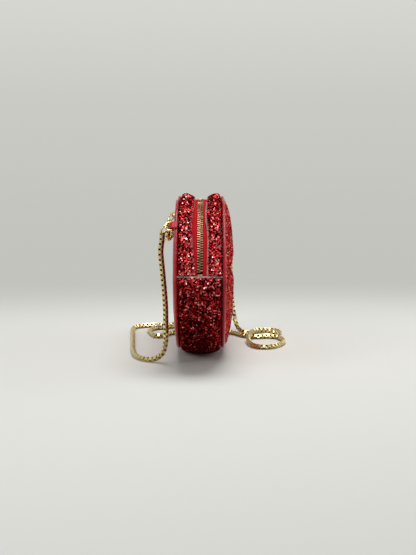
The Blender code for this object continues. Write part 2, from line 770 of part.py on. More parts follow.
# The chain's route, from the near ring down to the floor, round behind the bag's far end, out to the
# front in two loops, and up over the far slope to the far ring. Each point is (x, y, height of its
# underside), chosen by hand.
LAID = 0
STACKED = 0.0052
CHAIN_ROUTE = (
    (-0.0820, 0.0372, 0.1080),
    (-0.0805, 0.0358, 0.0900),
    (-0.0780, 0.0335, 0.0600),
    (-0.0740, 0.0332, 0.0380),
    (-0.0700, 0.0336, 0.0200),
    (-0.0670, 0.0365, 0.0085),
    (-0.0640, 0.0430, 0.0020),
    (-0.0600, 0.0520, LAID),
    (-0.0520, 0.0600, LAID),
    (-0.0380, 0.0655, LAID),
    (-0.0150, 0.0695, LAID),
    (0.0150, 0.0720, LAID),
    (0.0450, 0.0745, LAID),
    (0.0770, 0.0765, LAID),
    (0.1000, 0.0788, LAID),
    (0.1140, 0.0775, LAID),
    (0.1220, 0.0700, LAID),
    (0.1250, 0.0610, LAID),
    (0.1270, 0.0520, LAID),
    (0.1225, 0.0440, LAID),
    (0.1300, 0.0350, LAID),
    (0.1440, 0.0300, LAID),
    (0.1560, 0.0220, LAID),
    (0.1580, 0.0110, LAID),
    (0.1490, 0.0050, LAID),
    (0.1370, 0.0120, LAID),
    (0.1240, 0.0270, LAID),
    (0.1130, 0.0420, LAID),
    (0.1080, 0.0530, LAID),
    (0.0960, 0.0590, LAID),
    (0.0780, 0.0560, LAID),
    (0.0640, 0.0520, LAID),
    (0.0600, 0.0455, LAID),
    (0.0720, 0.0385, LAID),
    (0.0800, 0.0310, LAID),
    (0.0880, 0.0180, LAID),
    (0.0900, 0.0000, LAID),
    (0.0880, -0.0180, LAID),
    (0.0830, -0.0310, LAID),
    (0.0740, -0.0400, LAID),
    (0.0640, -0.0470, LAID),
    (0.0560, -0.0600, LAID),
    (0.0590, -0.0730, LAID),
    (0.0520, -0.0850, LAID),
    (0.0320, -0.0885, LAID),
    (0.0110, -0.0815, LAID),
    (0.0000, -0.0690, LAID),
    (0.0050, -0.0570, LAID),
    (0.0260, -0.0510, 0.0010),
    (0.0480, -0.0530, STACKED),
    (0.0640, -0.0600, STACKED),
    (0.0700, -0.0720, 0.0045),
    (0.0740, -0.0840, LAID),
    (0.0860, -0.0880, LAID),
    (0.0950, -0.0790, LAID),
    (0.0910, -0.0670, LAID),
    (0.0800, -0.0560, LAID),
    (0.0790, -0.0470, 0.0010),
    (0.0880, -0.0410, 0.0050),
    (0.0960, -0.0375, 0.0160),
    (0.0995, -0.0350, 0.0330),
    (0.1010, -0.0335, 0.0560),
    (0.1025, -0.0328, 0.0780),
    (0.1045, -0.0322, 0.0960),
    (0.1060, -0.0305, 0.1085),
    (0.1058, -0.0250, 0.1168),
    (0.1047, -0.0150, 0.1197),
    (0.1045, 0.0000, 0.1204),
    (0.1045, 0.0150, 0.1198),
    (0.1053, 0.0250, 0.1168),
    (0.1040, 0.0320, 0.1100),
    (0.1000, 0.0360, 0.1050),
    (0.0930, 0.0385, 0.1040),
    (0.0850, 0.0376, 0.1080),
)


def chain_end(end):
    """The middle of the chain's end face, just under a ring."""
    drop = RING_RADIUS + RING_WIRE_RADIUS + 2 * CLEARANCE
    return ring_frame(end) @ Vector((0, 0, -drop))


def smooth_points(route, steps=12):
    """Points along a smooth curve through the route."""
    padded = [2 * route[0] - route[1], *route, 2 * route[-1] - route[-2]]
    fine = []
    for p0, p1, p2, p3 in zip(padded, padded[1:], padded[2:], padded[3:]):
        for k in range(steps):
            t = k / steps
            pull = (p2 - p0) * t
            bend = (2 * p0 - 5 * p1 + 4 * p2 - p3) * t**2
            twist = (3 * p1 - 3 * p2 + p3 - p0) * t**3
            fine.append(p1 + (pull + bend + twist) / 2)
    return fine + [route[-1]]


def thinned(fine):
    """Those of the points that a tube needs: closer together where it bends."""
    kept = [fine[0], fine[1]]
    for before, here, after in zip(fine[1:], fine[2:], fine[3:]):
        far = (here - kept[-1]).length
        turn = (here - kept[-1]).angle(kept[-1] - kept[-2]) if len(kept) > 1 else 0
        bent = math.degrees(turn) > CHAIN_TURN and far > 1.5 * CHAIN_DIAMETER
        if far > 3.6 * CHAIN_DIAMETER or bent:
            kept.append(here)
    return kept + [fine[-1]]


def chain():
    """The box chain as a plain round tube along its whole length."""
    radius = CHAIN_DIAMETER / 2
    route = [chain_end(-1), chain_end(-1) - Vector((0, 0, CHAIN_DIAMETER))]
    route += [Vector((x, y, low + radius)) for x, y, low in CHAIN_ROUTE]
    route += [chain_end(1) - Vector((0, 0, CHAIN_DIAMETER)), chain_end(1)]
    points = thinned(smooth_points(route))
    curve = bpy.data.curves.new("strap_chain", "CURVE")
    curve.dimensions = "3D"
    curve.bevel_depth = radius
    curve.bevel_resolution = 2
    curve.use_fill_caps = True
    spline = curve.splines.new("POLY")
    spline.points.add(len(points) - 1)
    for spot, point in zip(spline.points, points):
        spot.co = (*point, 1)
    length = sum((b - a).length for a, b in zip(points, points[1:]))
    print(f"chain: {len(points)} points, {length:.3f} m")
    add_object("strap_chain", curve, GOLD)


def main():
    for old in list(bpy.data.objects):
        bpy.data.objects.remove(old)
    lip_panels()
    padding("front_padding", -1, FRONT_PUFF, both_lips, True)
    board("front_board", -1)
    piping("front_piping", -1)
    back_panel()
    padding("back_padding", 1, BACK_PUFF, lambda mouth: BACK_SHARES, False)
    board("back_board", 1)
    piping("back_piping", 1)
    bottom_gusset()
    for word, side in (("front", -1), ("back", 1)):
        zip_strip(f"zip_strip_{word}", side)
        zip_half(f"zip_half_{word}", side)
    zip_bottom_stop()
    lining()
    zip_slider()
    zip_puller()
    for word, end in (("near", -1), ("far", 1)):
        strap_tab(f"{word}_strap_tab", end)
        d_ring(f"{word}_d_ring", end)
        chain_ring(f"{word}_ring", end)
    chain()


main()
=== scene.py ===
"""The looks of a lip shaped crossbody bag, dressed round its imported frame.

Metres, +Z up. X runs along the bag from mouth corner to mouth corner, the front faces -Y, and the
bag stands at the origin on the middle of its lower lip.
"""

from functools import partial
from math import atan, cos, degrees, exp, pi, radians, sin, sqrt

import bmesh
import bpy
from mathutils import Matrix, Vector, noise


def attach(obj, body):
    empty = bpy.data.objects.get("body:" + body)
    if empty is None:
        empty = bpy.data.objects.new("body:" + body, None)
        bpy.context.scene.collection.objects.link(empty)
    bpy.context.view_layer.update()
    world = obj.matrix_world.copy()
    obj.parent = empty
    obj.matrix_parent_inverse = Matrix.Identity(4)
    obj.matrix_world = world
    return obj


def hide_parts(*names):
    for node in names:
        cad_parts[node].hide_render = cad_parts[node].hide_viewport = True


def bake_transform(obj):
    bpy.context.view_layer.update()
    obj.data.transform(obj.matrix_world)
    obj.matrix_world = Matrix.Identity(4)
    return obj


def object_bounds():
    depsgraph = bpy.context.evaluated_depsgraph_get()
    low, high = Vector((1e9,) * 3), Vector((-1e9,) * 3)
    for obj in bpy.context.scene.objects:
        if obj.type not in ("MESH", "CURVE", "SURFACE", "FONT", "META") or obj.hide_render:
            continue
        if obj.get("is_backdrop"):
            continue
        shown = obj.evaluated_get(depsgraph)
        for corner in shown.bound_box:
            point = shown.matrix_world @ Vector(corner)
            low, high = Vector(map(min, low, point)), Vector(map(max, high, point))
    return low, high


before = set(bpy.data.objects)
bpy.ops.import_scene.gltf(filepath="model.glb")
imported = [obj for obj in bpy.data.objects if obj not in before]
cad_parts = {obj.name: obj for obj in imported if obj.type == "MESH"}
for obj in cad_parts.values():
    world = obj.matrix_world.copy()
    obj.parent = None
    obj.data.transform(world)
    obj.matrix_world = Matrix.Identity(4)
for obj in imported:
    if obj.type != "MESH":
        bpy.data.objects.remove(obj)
cad_low, cad_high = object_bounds()

# Camera. It stands about a metre off the bag's near end and a little higher than the bag, and looks
# along it.

CAMERA_PLACE = Vector((-0.99, -0.0074, 0.206))
CAMERA_DIP = 7.5  # degrees below the horizon
CAMERA_LENS = 62.7  # millimetres, on the default sensor


def linked(name, data):
    made = bpy.data.objects.new(name, data)
    bpy.context.scene.collection.objects.link(made)
    return made


def aimed(name, data, place, way):
    """A camera or a lamp at a place, looking this way."""
    made = linked(name, data)
    turned = way.to_track_quat("-Z", "Y").to_matrix().to_4x4()
    made.matrix_world = Matrix.Translation(place) @ turned
    return made


ahead = Vector((cos(radians(CAMERA_DIP)), 0, -sin(radians(CAMERA_DIP))))
camera = aimed("camera", bpy.data.cameras.new("camera"), CAMERA_PLACE, ahead)
camera.data.lens = CAMERA_LENS
camera.data.clip_start = 0.01
bpy.context.scene.camera = camera

# Chain strap. A box chain of folded metal links, each turned a quarter round from the one before,
# plated pale gold. It hangs from a ring at each end, and its slack lies on the table in loose loops.

LINK_WIDTH = 0.0043
LINK_PITCH = 0.00245
LINK_BAND = 0.0031  # a link's width across its own band of metal
LINK_METAL = 0.00048
CHAIN_RADIUS = 0.0026  # half of what the chain fills as it turns
LEAD_LINKS = 18  # how many links at each end are grown as a piece of their own
STACKED = 5.2  # millimetres up to a strand that crosses over another
SMOOTH_STEPS = 12  # points to each stretch of the route
CHAIN_ROUTE = (  # x and y in millimetres, and the underside's height where it isn't on the table
    (-82.2, 35.6, 125.4), (-82, 36, 119.6), (-82, 37.2, 108), (-80.5, 35.8, 90), (-78, 33.5, 60),
    (-74, 33.2, 38), (-70, 33.6, 20), (-67, 36.5, 8.5), (-64, 43, 2), (-60, 52), (-52, 60),
    (-38, 65.5), (-15, 69.5), (15, 72), (45, 74.5), (77, 76.5), (100, 78.8), (114, 77.5), (122, 70),
    (125, 61), (127, 52), (122.5, 44), (130, 35), (144, 30), (156, 22), (158, 11), (149, 5),
    (137, 12), (124, 27), (113, 42), (108, 53), (96, 59), (78, 56), (64, 52), (60, 45.5),
    (72, 38.5), (80, 31), (88, 18), (90, 0), (88, -18), (83, -31), (74, -40), (64, -47), (56, -60),
    (59, -73), (52, -85), (32, -88.5), (11, -81.5), (0, -69), (5, -57), (26, -51, 1),
    (48, -53, STACKED), (64, -60, STACKED), (70, -72, 4.5), (74, -84), (86, -88), (95, -79),
    (91, -67), (80, -56), (79, -47, 1), (88, -41, 5), (96, -37.5, 16), (99.5, -35, 33),
    (101, -33.5, 56), (102.5, -32.8, 78), (104.5, -32.2, 96), (106, -30.5, 108.5),
    (105.8, -25, 116.8), (104.7, -15, 119.7), (104.5, 0, 120.4), (104.5, 15, 119.8),
    (105.3, 25, 116.8), (104, 32, 110), (100, 36, 105), (93, 38.5, 104), (85, 37.6, 108),
    (82, 36, 119.6), (82.2, 35.6, 125.4),
)


def plug(node, sockets):
    """Links or sets a node's named sockets. A node as a value stands for its first output."""
    for key, value in sockets.items():
        if isinstance(value, bpy.types.Node):
            value = value.outputs[0]
        if isinstance(value, bpy.types.NodeSocket):
            node.id_data.links.new(value, node.inputs[key])
        else:
            node.inputs[key].default_value = value


def put(tree, kind, sockets=None, **settings):
    """Adds a node with its settings and its sockets' values. Its kind leaves out its family."""
    families = ("ShaderNode", "GeometryNode", "FunctionNode", "")
    family = next(word for word in families if hasattr(bpy.types, word + kind))
    node = tree.nodes.new(family + kind)
    for name, value in settings.items():
        setattr(node, name, value)
    plug(node, sockets or {})
    return node


def sum_of(value, *steps):
    """Arithmetic in steps, each an operation and its second number, node or socket."""
    for act, other in zip(steps[::2], steps[1::2]):
        value = put(value.id_data, "Math", {0: value, 1: other}, operation=act)
    return value


def finish_of(name, roughness, metallic=0.0, **more):
    """A new material, its tree and its shader, with what is the same all over set on the shader."""
    made = bpy.data.materials.new(name)
    made.use_nodes = True
    shader = made.node_tree.nodes["Principled BSDF"]
    more = {label.replace("_", " "): value for label, value in more.items()}
    plug(shader, {"Roughness": roughness, "Metallic": metallic, **more})
    return made, made.node_tree, shader


def texture(tree, kind, sizes, **settings):
    """A texture that is laid out on the object itself."""
    where = put(tree, "TexCoord").outputs["Object"]
    return put(tree, f"Tex{kind}", {"Vector": where, **sizes}, **settings)


def shades(amount, stops):
    """A colour ramp from stops of (place, colour)."""
    ramp = put(amount.id_data, "ValToRGB", {"Fac": amount})
    bar = ramp.color_ramp.elements
    while len(bar) < len(stops):
        bar.new(0.5)
    for mark, (spot, colour) in zip(bar, stops):
        mark.position = spot
        mark.color = (*colour, 1)
    return ramp


def ranged(value, low, high, start=0, end=1, **settings):
    """What runs from start to end made to run from low to high."""
    sockets = {"From Min": start, "From Max": end, "To Min": low, "To Max": high}
    return put(value.id_data, "MapRange", {"Value": value, **sockets}, **settings)


def raised(shader, height, distance):
    """Raises a surface's finish by a height between 0 and 1 times this distance."""
    bump = put(shader.id_data, "Bump", {"Height": height, "Distance": distance})
    plug(shader, {"Normal": bump})


def plated(name, deep, light, roughness):
    """Polished metal whose colour drifts a little, with fine wear in its gloss."""
    made, tree, shader = finish_of(name, roughness, metallic=1.0)
    drift = texture(tree, "Noise", {"Scale": 260.0, "Detail": 3.0})
    wear = texture(tree, "Noise", {"Scale": 2200.0, "Detail": 2.0})
    plug(shader, {
        "Base Color": shades(drift, [(0.35, deep), (0.7, light)]),
        "Roughness": ranged(wear, roughness * 0.7, roughness * 1.5),
    })
    raised(shader, wear, 0.00002)
    return made


# Dark metal for the links' inner faces: painted shade in the chain's hollows, partly thin plating and
# tarnish.
SHADE_AND_TARNISH = plated("inside_shade_and_tarnish", (0.035, 0.016, 0.006), (0.12, 0.06, 0.025), 0.5)
PALE_GOLD = plated("pale_gold", (0.74, 0.585, 0.27), (0.90, 0.76, 0.40), 0.24)


def pattern(name, sizes):
    """Starts a Geometry Nodes tree with a named input for each size.

    Gives what adds a node to it, and what its inputs hold."""
    tree = bpy.data.node_groups.new(name, "GeometryNodeTree")
    for way in ("INPUT", "OUTPUT"):
        tree.interface.new_socket("Geometry", in_out=way, socket_type="NodeSocketGeometry")
    for label, value in sizes.items():
        kind = "NodeSocketInt" if isinstance(value, int) else "NodeSocketFloat"
        tree.interface.new_socket(label, in_out="INPUT", socket_type=kind)
    return partial(put, tree), tree.nodes.new("NodeGroupInput").outputs


def evaluated(name, base, tree=None, sizes=()):
    """The plain mesh of a mesh or curve, with what a tree grows on it."""
    work = linked(f"{name}_base", base)
    if tree:
        growth = work.modifiers.new("growth", "NODES")
        growth.node_group = tree
        for item in tree.interface.items_tree:
            if item.in_out == "INPUT" and item.name in sizes:
                growth[item.identifier] = sizes[item.name]
    done = work.evaluated_get(bpy.context.evaluated_depsgraph_get())
    mesh = bpy.data.meshes.new_from_object(done)
    bpy.data.objects.remove(work)
    return mesh


def placed(name, mesh):
    mesh.name = name
    return linked(name, mesh)


def grow(name, base, tree, sizes):
    return placed(name, evaluated(name, base, tree, sizes))


def open_curve(name, points, cyclic=False):
    curve = bpy.data.curves.new(name, "CURVE")
    curve.dimensions = "3D"
    spline = curve.splines.new("POLY")
    spline.points.add(len(points) - 1)
    for spot, point in zip(spline.points, points):
        spot.co = (*point, 1)
    spline.use_cyclic_u = cyclic
    return curve


def smooth_points(route):
    """Points along a smooth curve through the route."""
    padded = [2 * route[0] - route[1], *route, 2 * route[-1] - route[-2]]
    fine = []
    for p0, p1, p2, p3 in zip(padded, padded[1:], padded[2:], padded[3:]):
        for k in range(SMOOTH_STEPS):
            t = k / SMOOTH_STEPS
            pull = (p2 - p0) * t
            bend = (2 * p0 - 5 * p1 + 4 * p2 - p3) * t**2
            twist = (3 * p1 - 3 * p2 + p3 - p0) * t**3
            fine.append(p1 + (pull + bend + twist) / 2)
    return fine + [route[-1]]


def length_of(line):
    return sum((b - a).length for a, b in zip(line, line[1:]))


def stretch_of(line, start, end):
    """The part of a line between two distances along it."""
    kept = []
    gone = 0
    for a, b in zip(line, line[1:]):
        step = (b - a).length
        for mark in (start, end):
            if gone <= mark < gone + step:
                kept.append(a.lerp(b, (mark - gone) / step))
        if start < gone + step < end:
            kept.append(b)
        gone += step
    return kept


LINK_SIZES = {
    "Width": LINK_WIDTH, "Length": LINK_PITCH + 2 * LINK_METAL, "Band": LINK_BAND,
    "Metal": LINK_METAL, "Wobble": 0.02, "Seed": 4, "Links": 2, "First": 0,
    "Hangs Above": 0.030, "Lies Below": 0.006, "Roll": radians(40),
}


def box_chain():
    """The tree that lays folded links along a curve, every other one turned a quarter round.

    Links that hang turn their chain's corner to the bag's end, and links that lie are rolled by
    Roll from lying flat."""
    add, size = pattern("box_chain", LINK_SIZES)
    loop = add("CurvePrimitiveQuadrilateral", {
        "Width": sum_of(size["Width"], "SUBTRACT", size["Metal"]),
        "Height": sum_of(size["Length"], "SUBTRACT", size["Metal"]),
    })
    round_loop = add("FilletCurve", {"Curve": loop, "Radius": size["Metal"], "Count": 2}, mode="POLY")
    band = add("CurvePrimitiveQuadrilateral", {"Width": size["Metal"], "Height": size["Band"]})
    link = add("CurveToMesh", {"Curve": round_loop, "Profile Curve": band})
    place = add("InputPosition")
    faces_in = add(
        "VectorMath", {0: add("InputNormal"), 1: place}, operation="DOT_PRODUCT"
    ).outputs["Value"]
    hollow = add("Compare", {0: faces_in, 1: 0.0}, data_type="FLOAT", operation="LESS_THAN")
    told = add(
        "StoreNamedAttribute", {"Geometry": link, "Name": "inside_link", "Value": hollow},
        data_type="BOOLEAN", domain="FACE",
    )
    crisp = add("SetShadeSmooth", {"Geometry": told, "Shade Smooth": False})
    upright = add("Transform", {"Geometry": crisp, "Rotation": (pi / 2, 0, 0)})
    spots = add("ResampleCurve", {"Curve": size["Geometry"], "Count": size["Links"]}, mode="COUNT")
    height = add("SeparateXYZ", {0: place}).outputs["Z"]
    hung = ranged(height, 0, 1, size["Lies Below"], size["Hangs Above"])
    side = add(
        "Mix", {"Factor": hung, "A": (0, 0, 1), "B": (0.707, 0.707, 0)}, data_type="VECTOR"
    ).outputs["Result"]
    facing = add(
        "AxesToRotation",
        {"Primary Axis": add("InputTangent"), "Secondary Axis": side},
        primary_axis="Z", secondary_axis="X",
    )
    quarter = sum_of(add("InputIndex"), "ADD", size["First"], "MODULO", 2.0, "MULTIPLY", pi / 2)
    loose = add(
        "RandomValue", {"Min": -1.0, "Max": 1.0, "Seed": size["Seed"]}, data_type="FLOAT"
    ).outputs[1]
    flat = add("Math", {0: 1.0, 1: hung}, operation="SUBTRACT")
    rolled = sum_of(flat, "MULTIPLY", size["Roll"])
    swing = sum_of(loose, "MULTIPLY", size["Wobble"], "ADD", quarter, "ADD", rolled)
    roll = add("AxisAngleToRotation", {"Axis": (0, 0, 1), "Angle": swing})
    turned = add("RotateRotation", {"Rotation": facing, "Rotate By": roll}, rotation_space="LOCAL")
    links = add("InstanceOnPoints", {"Points": spots, "Instance": upright, "Rotation": turned})
    real = add("RealizeInstances", {"Geometry": links})
    bright = add("SetMaterial", {"Geometry": real, "Material": PALE_GOLD})
    # The links' inner faces take the dark metal: painted shade in the hollows, partly tarnish.
    inside_shade_faces = add("InputNamedAttribute", {"Name": "inside_link"}, data_type="BOOLEAN")
    both = add("SetMaterial", {
        "Geometry": bright, "Selection": inside_shade_faces.outputs["Attribute"], "Material": SHADE_AND_TARNISH,
    })
    return add("NodeGroupOutput", {"Geometry": both}).id_data


chain_line = smooth_points([
    Vector((x / 1000, y / 1000, sum(low) / 1000 + CHAIN_RADIUS)) for x, y, *low in CHAIN_ROUTE
])
chain_length = length_of(chain_line)
link_count = 2 * round(chain_length / LINK_PITCH / 2)
true_pitch = chain_length / (link_count - 1)
chain_tree = box_chain()
chain_pieces = {}
for name, first, last in (
    ("near_chain_end", 0, LEAD_LINKS - 1),
    ("strap_chain_links", LEAD_LINKS, link_count - 1 - LEAD_LINKS),
    ("far_chain_end", link_count - LEAD_LINKS, link_count - 1),
):
    last_mark = min(last * true_pitch, chain_length - LINK_METAL / 100)
    line = stretch_of(chain_line, first * true_pitch, last_mark)
    sizes = {**LINK_SIZES, "Links": last - first + 1, "First": first % 2}
    chain_pieces[name] = (grow(name, open_curve(name, line), chain_tree, sizes), line)

chain, chain_middle = chain_pieces["strap_chain_links"]
near_lead, near_line = chain_pieces["near_chain_end"]
far_lead, far_line = chain_pieces["far_chain_end"]
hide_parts("strap_chain")
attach(chain, "bag")
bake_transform(near_lead)
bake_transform(far_lead)
length_of(chain_middle)

# Stiffening boards. Thin grey-brown fibre boards, cut to the lip outline, keep both faces flat
# behind their padding. They are glued in before the lining and never seen.


def textured(name, roughness, kind, sizes, stops, depth, output=0, settings={}, **more):
    """A material whose one texture gives both its colour and its height."""
    made, tree, shader = finish_of(name, roughness, **more)
    amount = texture(tree, kind, sizes, **settings).outputs[output]
    plug(shader, {"Base Color": shades(amount, stops)})
    raised(shader, amount, depth)
    return made


fibre = textured(
    "fibre_board", 0.85, "Noise", {"Scale": 900.0, "Detail": 6.0, "Roughness": 0.7},
    [(0.3, (0.16, 0.12, 0.08)), (0.7, (0.30, 0.24, 0.17))], 0.00008,
)
for name in ("front_board", "back_board"):
    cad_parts[name].data.materials[0] = fibre

# Foam pads. Soft foam cut to the lip outline gives the front its pout, and a thinner pad backs the
# plain panel. Each is glued flat to its board, and its other face swells under the leather.

LENGTH = 0.240  # between the mouth corners, on the seams
SEAM_RISE = 0.1507  # from the lowest point of the seams to their peaks
WIDTH = 0.045  # between the front seam and the back seam
CORNER_RISE = 0.0772
CORNER_RADIUS = 0.018
PEAK_REACH = 0.035
BOW_DIP = 0.012
FRONT_PUFF = 0.0095
BACK_PUFF = 0.0040
MOUTH_CREASE = 0.0032
CREASE_REACH = 0.0080
CLEARANCE = 0.0003
SKIN = 0.0012  # the thickness of the glitter leather and the back panel
GUSSET_CROWN = 0.0060
PRESSED = 0.0008  # how far the bag's weight flattens the gusset's crown
TURNS = (-90, -55, -38, 30, 55, 90)  # the seam's normal where its arcs meet, in degrees
HALF = WIDTH / 2
FLOOR_RISE = GUSSET_CROWN + SKIN / 2 - PRESSED
END_SHARE = 0.013  # of a face's length, cut off at each mouth corner
MOUTH_SHARE = 0.53  # how far up its column the mouth lies at the corners and the middle
MOUTH_WAVE_SHARE = 0.035
PAD_INSET = 0.0040
BOARD_FACE = HALF - SKIN / 2 - 2 * CLEARANCE - SKIN
PUFF_POWER = 0.8  # how the puff grows with the height of a column
PAD_COLUMNS = 96
PAD_ROWS = 26


def normal_at(turn):
    return Vector((cos(radians(turn)), sin(radians(turn))))


def two_arcs(start, end, turns):
    """Two arcs that run from start to end, with the normal's direction given at all three places."""
    first = normal_at(turns[1]) - normal_at(turns[0])
    second = normal_at(turns[2]) - normal_at(turns[1])
    step = end - start
    scale = first.cross(second)
    radii = (step.cross(second) / scale, first.cross(step) / scale)
    centre = start - radii[0] * normal_at(turns[0])
    middle = centre + radii[0] * normal_at(turns[1])
    return [
        (centre, radii[0], turns[0], turns[1]),
        (middle - radii[1] * normal_at(turns[1]), radii[1], turns[1], turns[2]),
    ]


def half_seam():
    """The right half of the lip outline as arcs, from the bottom to the dip of the upper lip."""
    corner = Vector((LENGTH / 2 - CORNER_RADIUS, FLOOR_RISE + CORNER_RISE))
    peak = Vector((PEAK_REACH, FLOOR_RISE + SEAM_RISE))
    below, over = (corner + CORNER_RADIUS * normal_at(turn) for turn in TURNS[2:4])
    lower = two_arcs(Vector((0, FLOOR_RISE)), below, TURNS[:3])
    upper = two_arcs(over, peak, TURNS[3:])
    bend = 2 * atan(BOW_DIP / PEAK_REACH)
    radius = PEAK_REACH / sin(bend) / 2
    turn = TURNS[5] + degrees(bend)
    crest = peak - radius * normal_at(TURNS[5])
    change = crest + radius * normal_at(turn)
    above_dip = change + radius * normal_at(turn)
    bow = [(crest, radius, TURNS[5], turn), (above_dip, -radius, turn, TURNS[5])]
    return lower + [(corner, CORNER_RADIUS, TURNS[2], TURNS[3])] + upper + bow


def arc_length(arc):
    return abs(arc[1] * radians(arc[3] - arc[2]))


HALF_SEAM = half_seam()
CORNER_S = sum(map(arc_length, HALF_SEAM[:2])) + CORNER_RADIUS * radians(-TURNS[2])
ZIP_S = sum(map(arc_length, HALF_SEAM[:3]))
TOP_S = sum(map(arc_length, HALF_SEAM))


def seam(s):
    """The seam's point and outward normal in the XZ plane, s along it from the bottom."""
    if s > TOP_S:
        s -= 2 * TOP_S
    left = abs(s)
    for centre, radius, start, end in HALF_SEAM:
        length = arc_length((centre, radius, start, end))
        if left <= length or (centre, radius) == HALF_SEAM[-1][:2]:
            break
        left -= length
    normal = normal_at(start + (end - start) * min(left / length, 1))
    point = centre + radius * normal
    if s < 0:
        return Vector((-point.x, point.y)), Vector((-normal.x, normal.y))
    return point, normal


def at(s, y, out):
    """A point s along the seam, at depth y, this far outside the seam line."""
    point, normal = seam(s)
    return Vector((point.x + out * normal.x, y, point.y + out * normal.y))


def over_the_top(share, first):
    return first + 2 * share * (TOP_S - first)


def top_places(first, count):
    """Places along the seam from first, over the top, down to the same height."""
    return [over_the_top(i / (count - 1), first) for i in range(count)]


def columns(inset, count):
    """A face's columns: pairs of points on the lower and the upper seam line, this far inside it."""
    pairs = []
    for i in range(count):
        share = END_SHARE + (1 - 2 * END_SHARE) * i / (count - 1)
        low = at(CORNER_S * (1 - 2 * share), 0, -inset)
        pairs.append((low, at(over_the_top(share, CORNER_S), 0, -inset)))
    return pairs


def mouth_share(i, count):
    """How far up column i the mouth line lies: a shallow bow on each side of a low middle."""
    across = abs(2 * i / (count - 1) - 1)
    return MOUTH_SHARE + MOUTH_WAVE_SHARE * sin(pi * across)


def swelling(low, high, share, puff):
    size = min((high - low).length / (SEAM_RISE - BOW_DIP), 1)
    return puff * size**PUFF_POWER * sqrt(max(4 * share * (1 - share), 0))


def crease(low, high, share, mouth):
    """How deep the mouth's seam pulls the surface in at this share of a column."""
    away = (share - mouth) * (high - low).length / CREASE_REACH
    size = min((high - low).length / SEAM_RISE * 2, 1)
    return MOUTH_CREASE * size * exp(-away * away)


def eased(count):
    """Shares from 0 to 1 that crowd towards both ends, where a padded face turns down."""
    return [(1 - cos(pi * k / (count - 1))) / 2 for k in range(count)]


def face_rows(side, depth, puff, inset, count, shares, creased):
    """Rows of points on a padded face, column by column."""
    rows = []
    for i, (low, high) in enumerate(columns(inset, count)):
        mouth = mouth_share(i, count)
        line = []
        for share in shares(mouth):
            out = swelling(low, high, share, puff)
            if creased:
                out -= crease(low, high, share, mouth)
            point = low.lerp(high, share)
            line.append(Vector((point.x, side * (depth + out), point.z)))
        rows.append(line)
    return rows


def laid_at(line, y):
    """A line's points, all moved to this depth."""
    return [Vector((p.x, y, p.z)) for p in line]


def rim_of(count, across):
    """The indices round the edge of a grid of count columns."""
    up = [i * across for i in range(count)]
    end = [(count - 1) * across + j for j in range(1, across)]
    back = [i * across + across - 1 for i in reversed(range(count - 1))]
    return up + end + back + list(range(across - 2, 0, -1))


def closed_sheet(name, face, back, looks, look_at=None):
    """A sheet with its own thickness between two grids of points.

    Its face has the first look, or the one that look_at gives for a place on the grid. Its back and
    its cut edges have the last."""
    across = len(face[0])
    half = len(face) * across
    last = len(looks) - 1
    work = bmesh.new()
    spots = [work.verts.new(p) for line in face + back for p in line]

    def add(corners, look):
        work.faces.new([spots[k] for k in corners]).material_index = look

    for i in range(len(face) - 1):
        for j in range(across - 1):
            a = i * across + j
            quad = (a, a + 1, a + across + 1, a + across)
            add(quad, look_at(i, j) if look_at else 0)
            add([half + k for k in reversed(quad)], last)
    rim = rim_of(len(face), across)
    for a, b in zip(rim, rim[1:] + rim[:1]):
        add((b, a, half + a, half + b), last)
    return from_work(name, work, looks)


def from_work(name, work, looks, sharp=50):
    """The object of a closed bmesh, with its faces turned outwards and its soft edges smooth."""
    bmesh.ops.recalc_face_normals(work, faces=work.faces)
    mesh = bpy.data.meshes.new(name)
    work.to_mesh(mesh)
    work.free()
    for look in looks:
        mesh.materials.append(look)
    mesh.shade_smooth()
    mesh.set_sharp_from_angle(angle=radians(sharp))
    return placed(name, mesh)


def fit(piece, slot, *nodes, body="bag"):
    """Fastens a finished piece to its body, in place of the plain solids that it stands for."""
    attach(piece, body)
    if nodes:
        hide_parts(*nodes)


foam = textured(
    "foam", 0.95, "Voronoi", {"Scale": 1400.0},
    [(0.1, (0.45, 0.42, 0.33)), (0.5, (0.74, 0.71, 0.60))], 0.0002,
    settings={"feature": "SMOOTH_F1"},
)

for name, side, puff, creased in (("front", -1, FRONT_PUFF, True), ("back", 1, BACK_PUFF, False)):
    shares = eased(PAD_ROWS)
    depth = HALF - SKIN / 2 - CLEARANCE
    face = face_rows(side, depth, puff, PAD_INSET, PAD_COLUMNS, lambda mouth: shares, creased)
    glued = side * (BOARD_FACE + CLEARANCE)
    back = [laid_at(line, glued) for line in face]
    pad = closed_sheet(f"{name}_foam_pad", face, back, [foam])
    fit(pad, "foam", f"{name}_padding")

# Front lips. Two panels of fine glitter leather are sewn to each other along the mouth and pulled
# over the foam, so that they pout above and below the seam and pucker a little along it.

RIM = 0.0018  # the panels stop this far inside the seam line, at the piping
LIP_COLUMNS = 220
LIP_ROWS = 44
PUCKER = 0.00050
PUCKER_PITCH = 0.0055
PUCKER_ROWS = 7  # how quickly the puckers die out away from a seam
PUCKER_STRETCH = 4  # how much longer than wide they are
PUCKER_PLACE = 3.7  # where in the noise they are taken
MOUTH_SHADE_WIDTH = 0.0016  # how far beside the mouth seam the dark ground of painted crease shade lies, without flakes
LUMP = 0.00045
LUMP_SCALE = 55  # lumps to a metre
EDGE_RED = (1.0, 0.28, 0.26, 1.0)  # what red film mirrors at a glancing angle
FLAKE_SCALES = ((0.65, 0.45, 1), (1.45, 1, 1))  # of the smallest and the largest flakes


def close_pattern(copies, look):
    """Ends a tree, and gives it: its copies are made real and given their material."""
    tree = copies.id_data
    real = put(tree, "RealizeInstances", {"Geometry": copies})
    painted = put(tree, "SetMaterial", {"Geometry": real, "Material": look})
    put(tree, "NodeGroupOutput", {"Geometry": painted})
    return tree


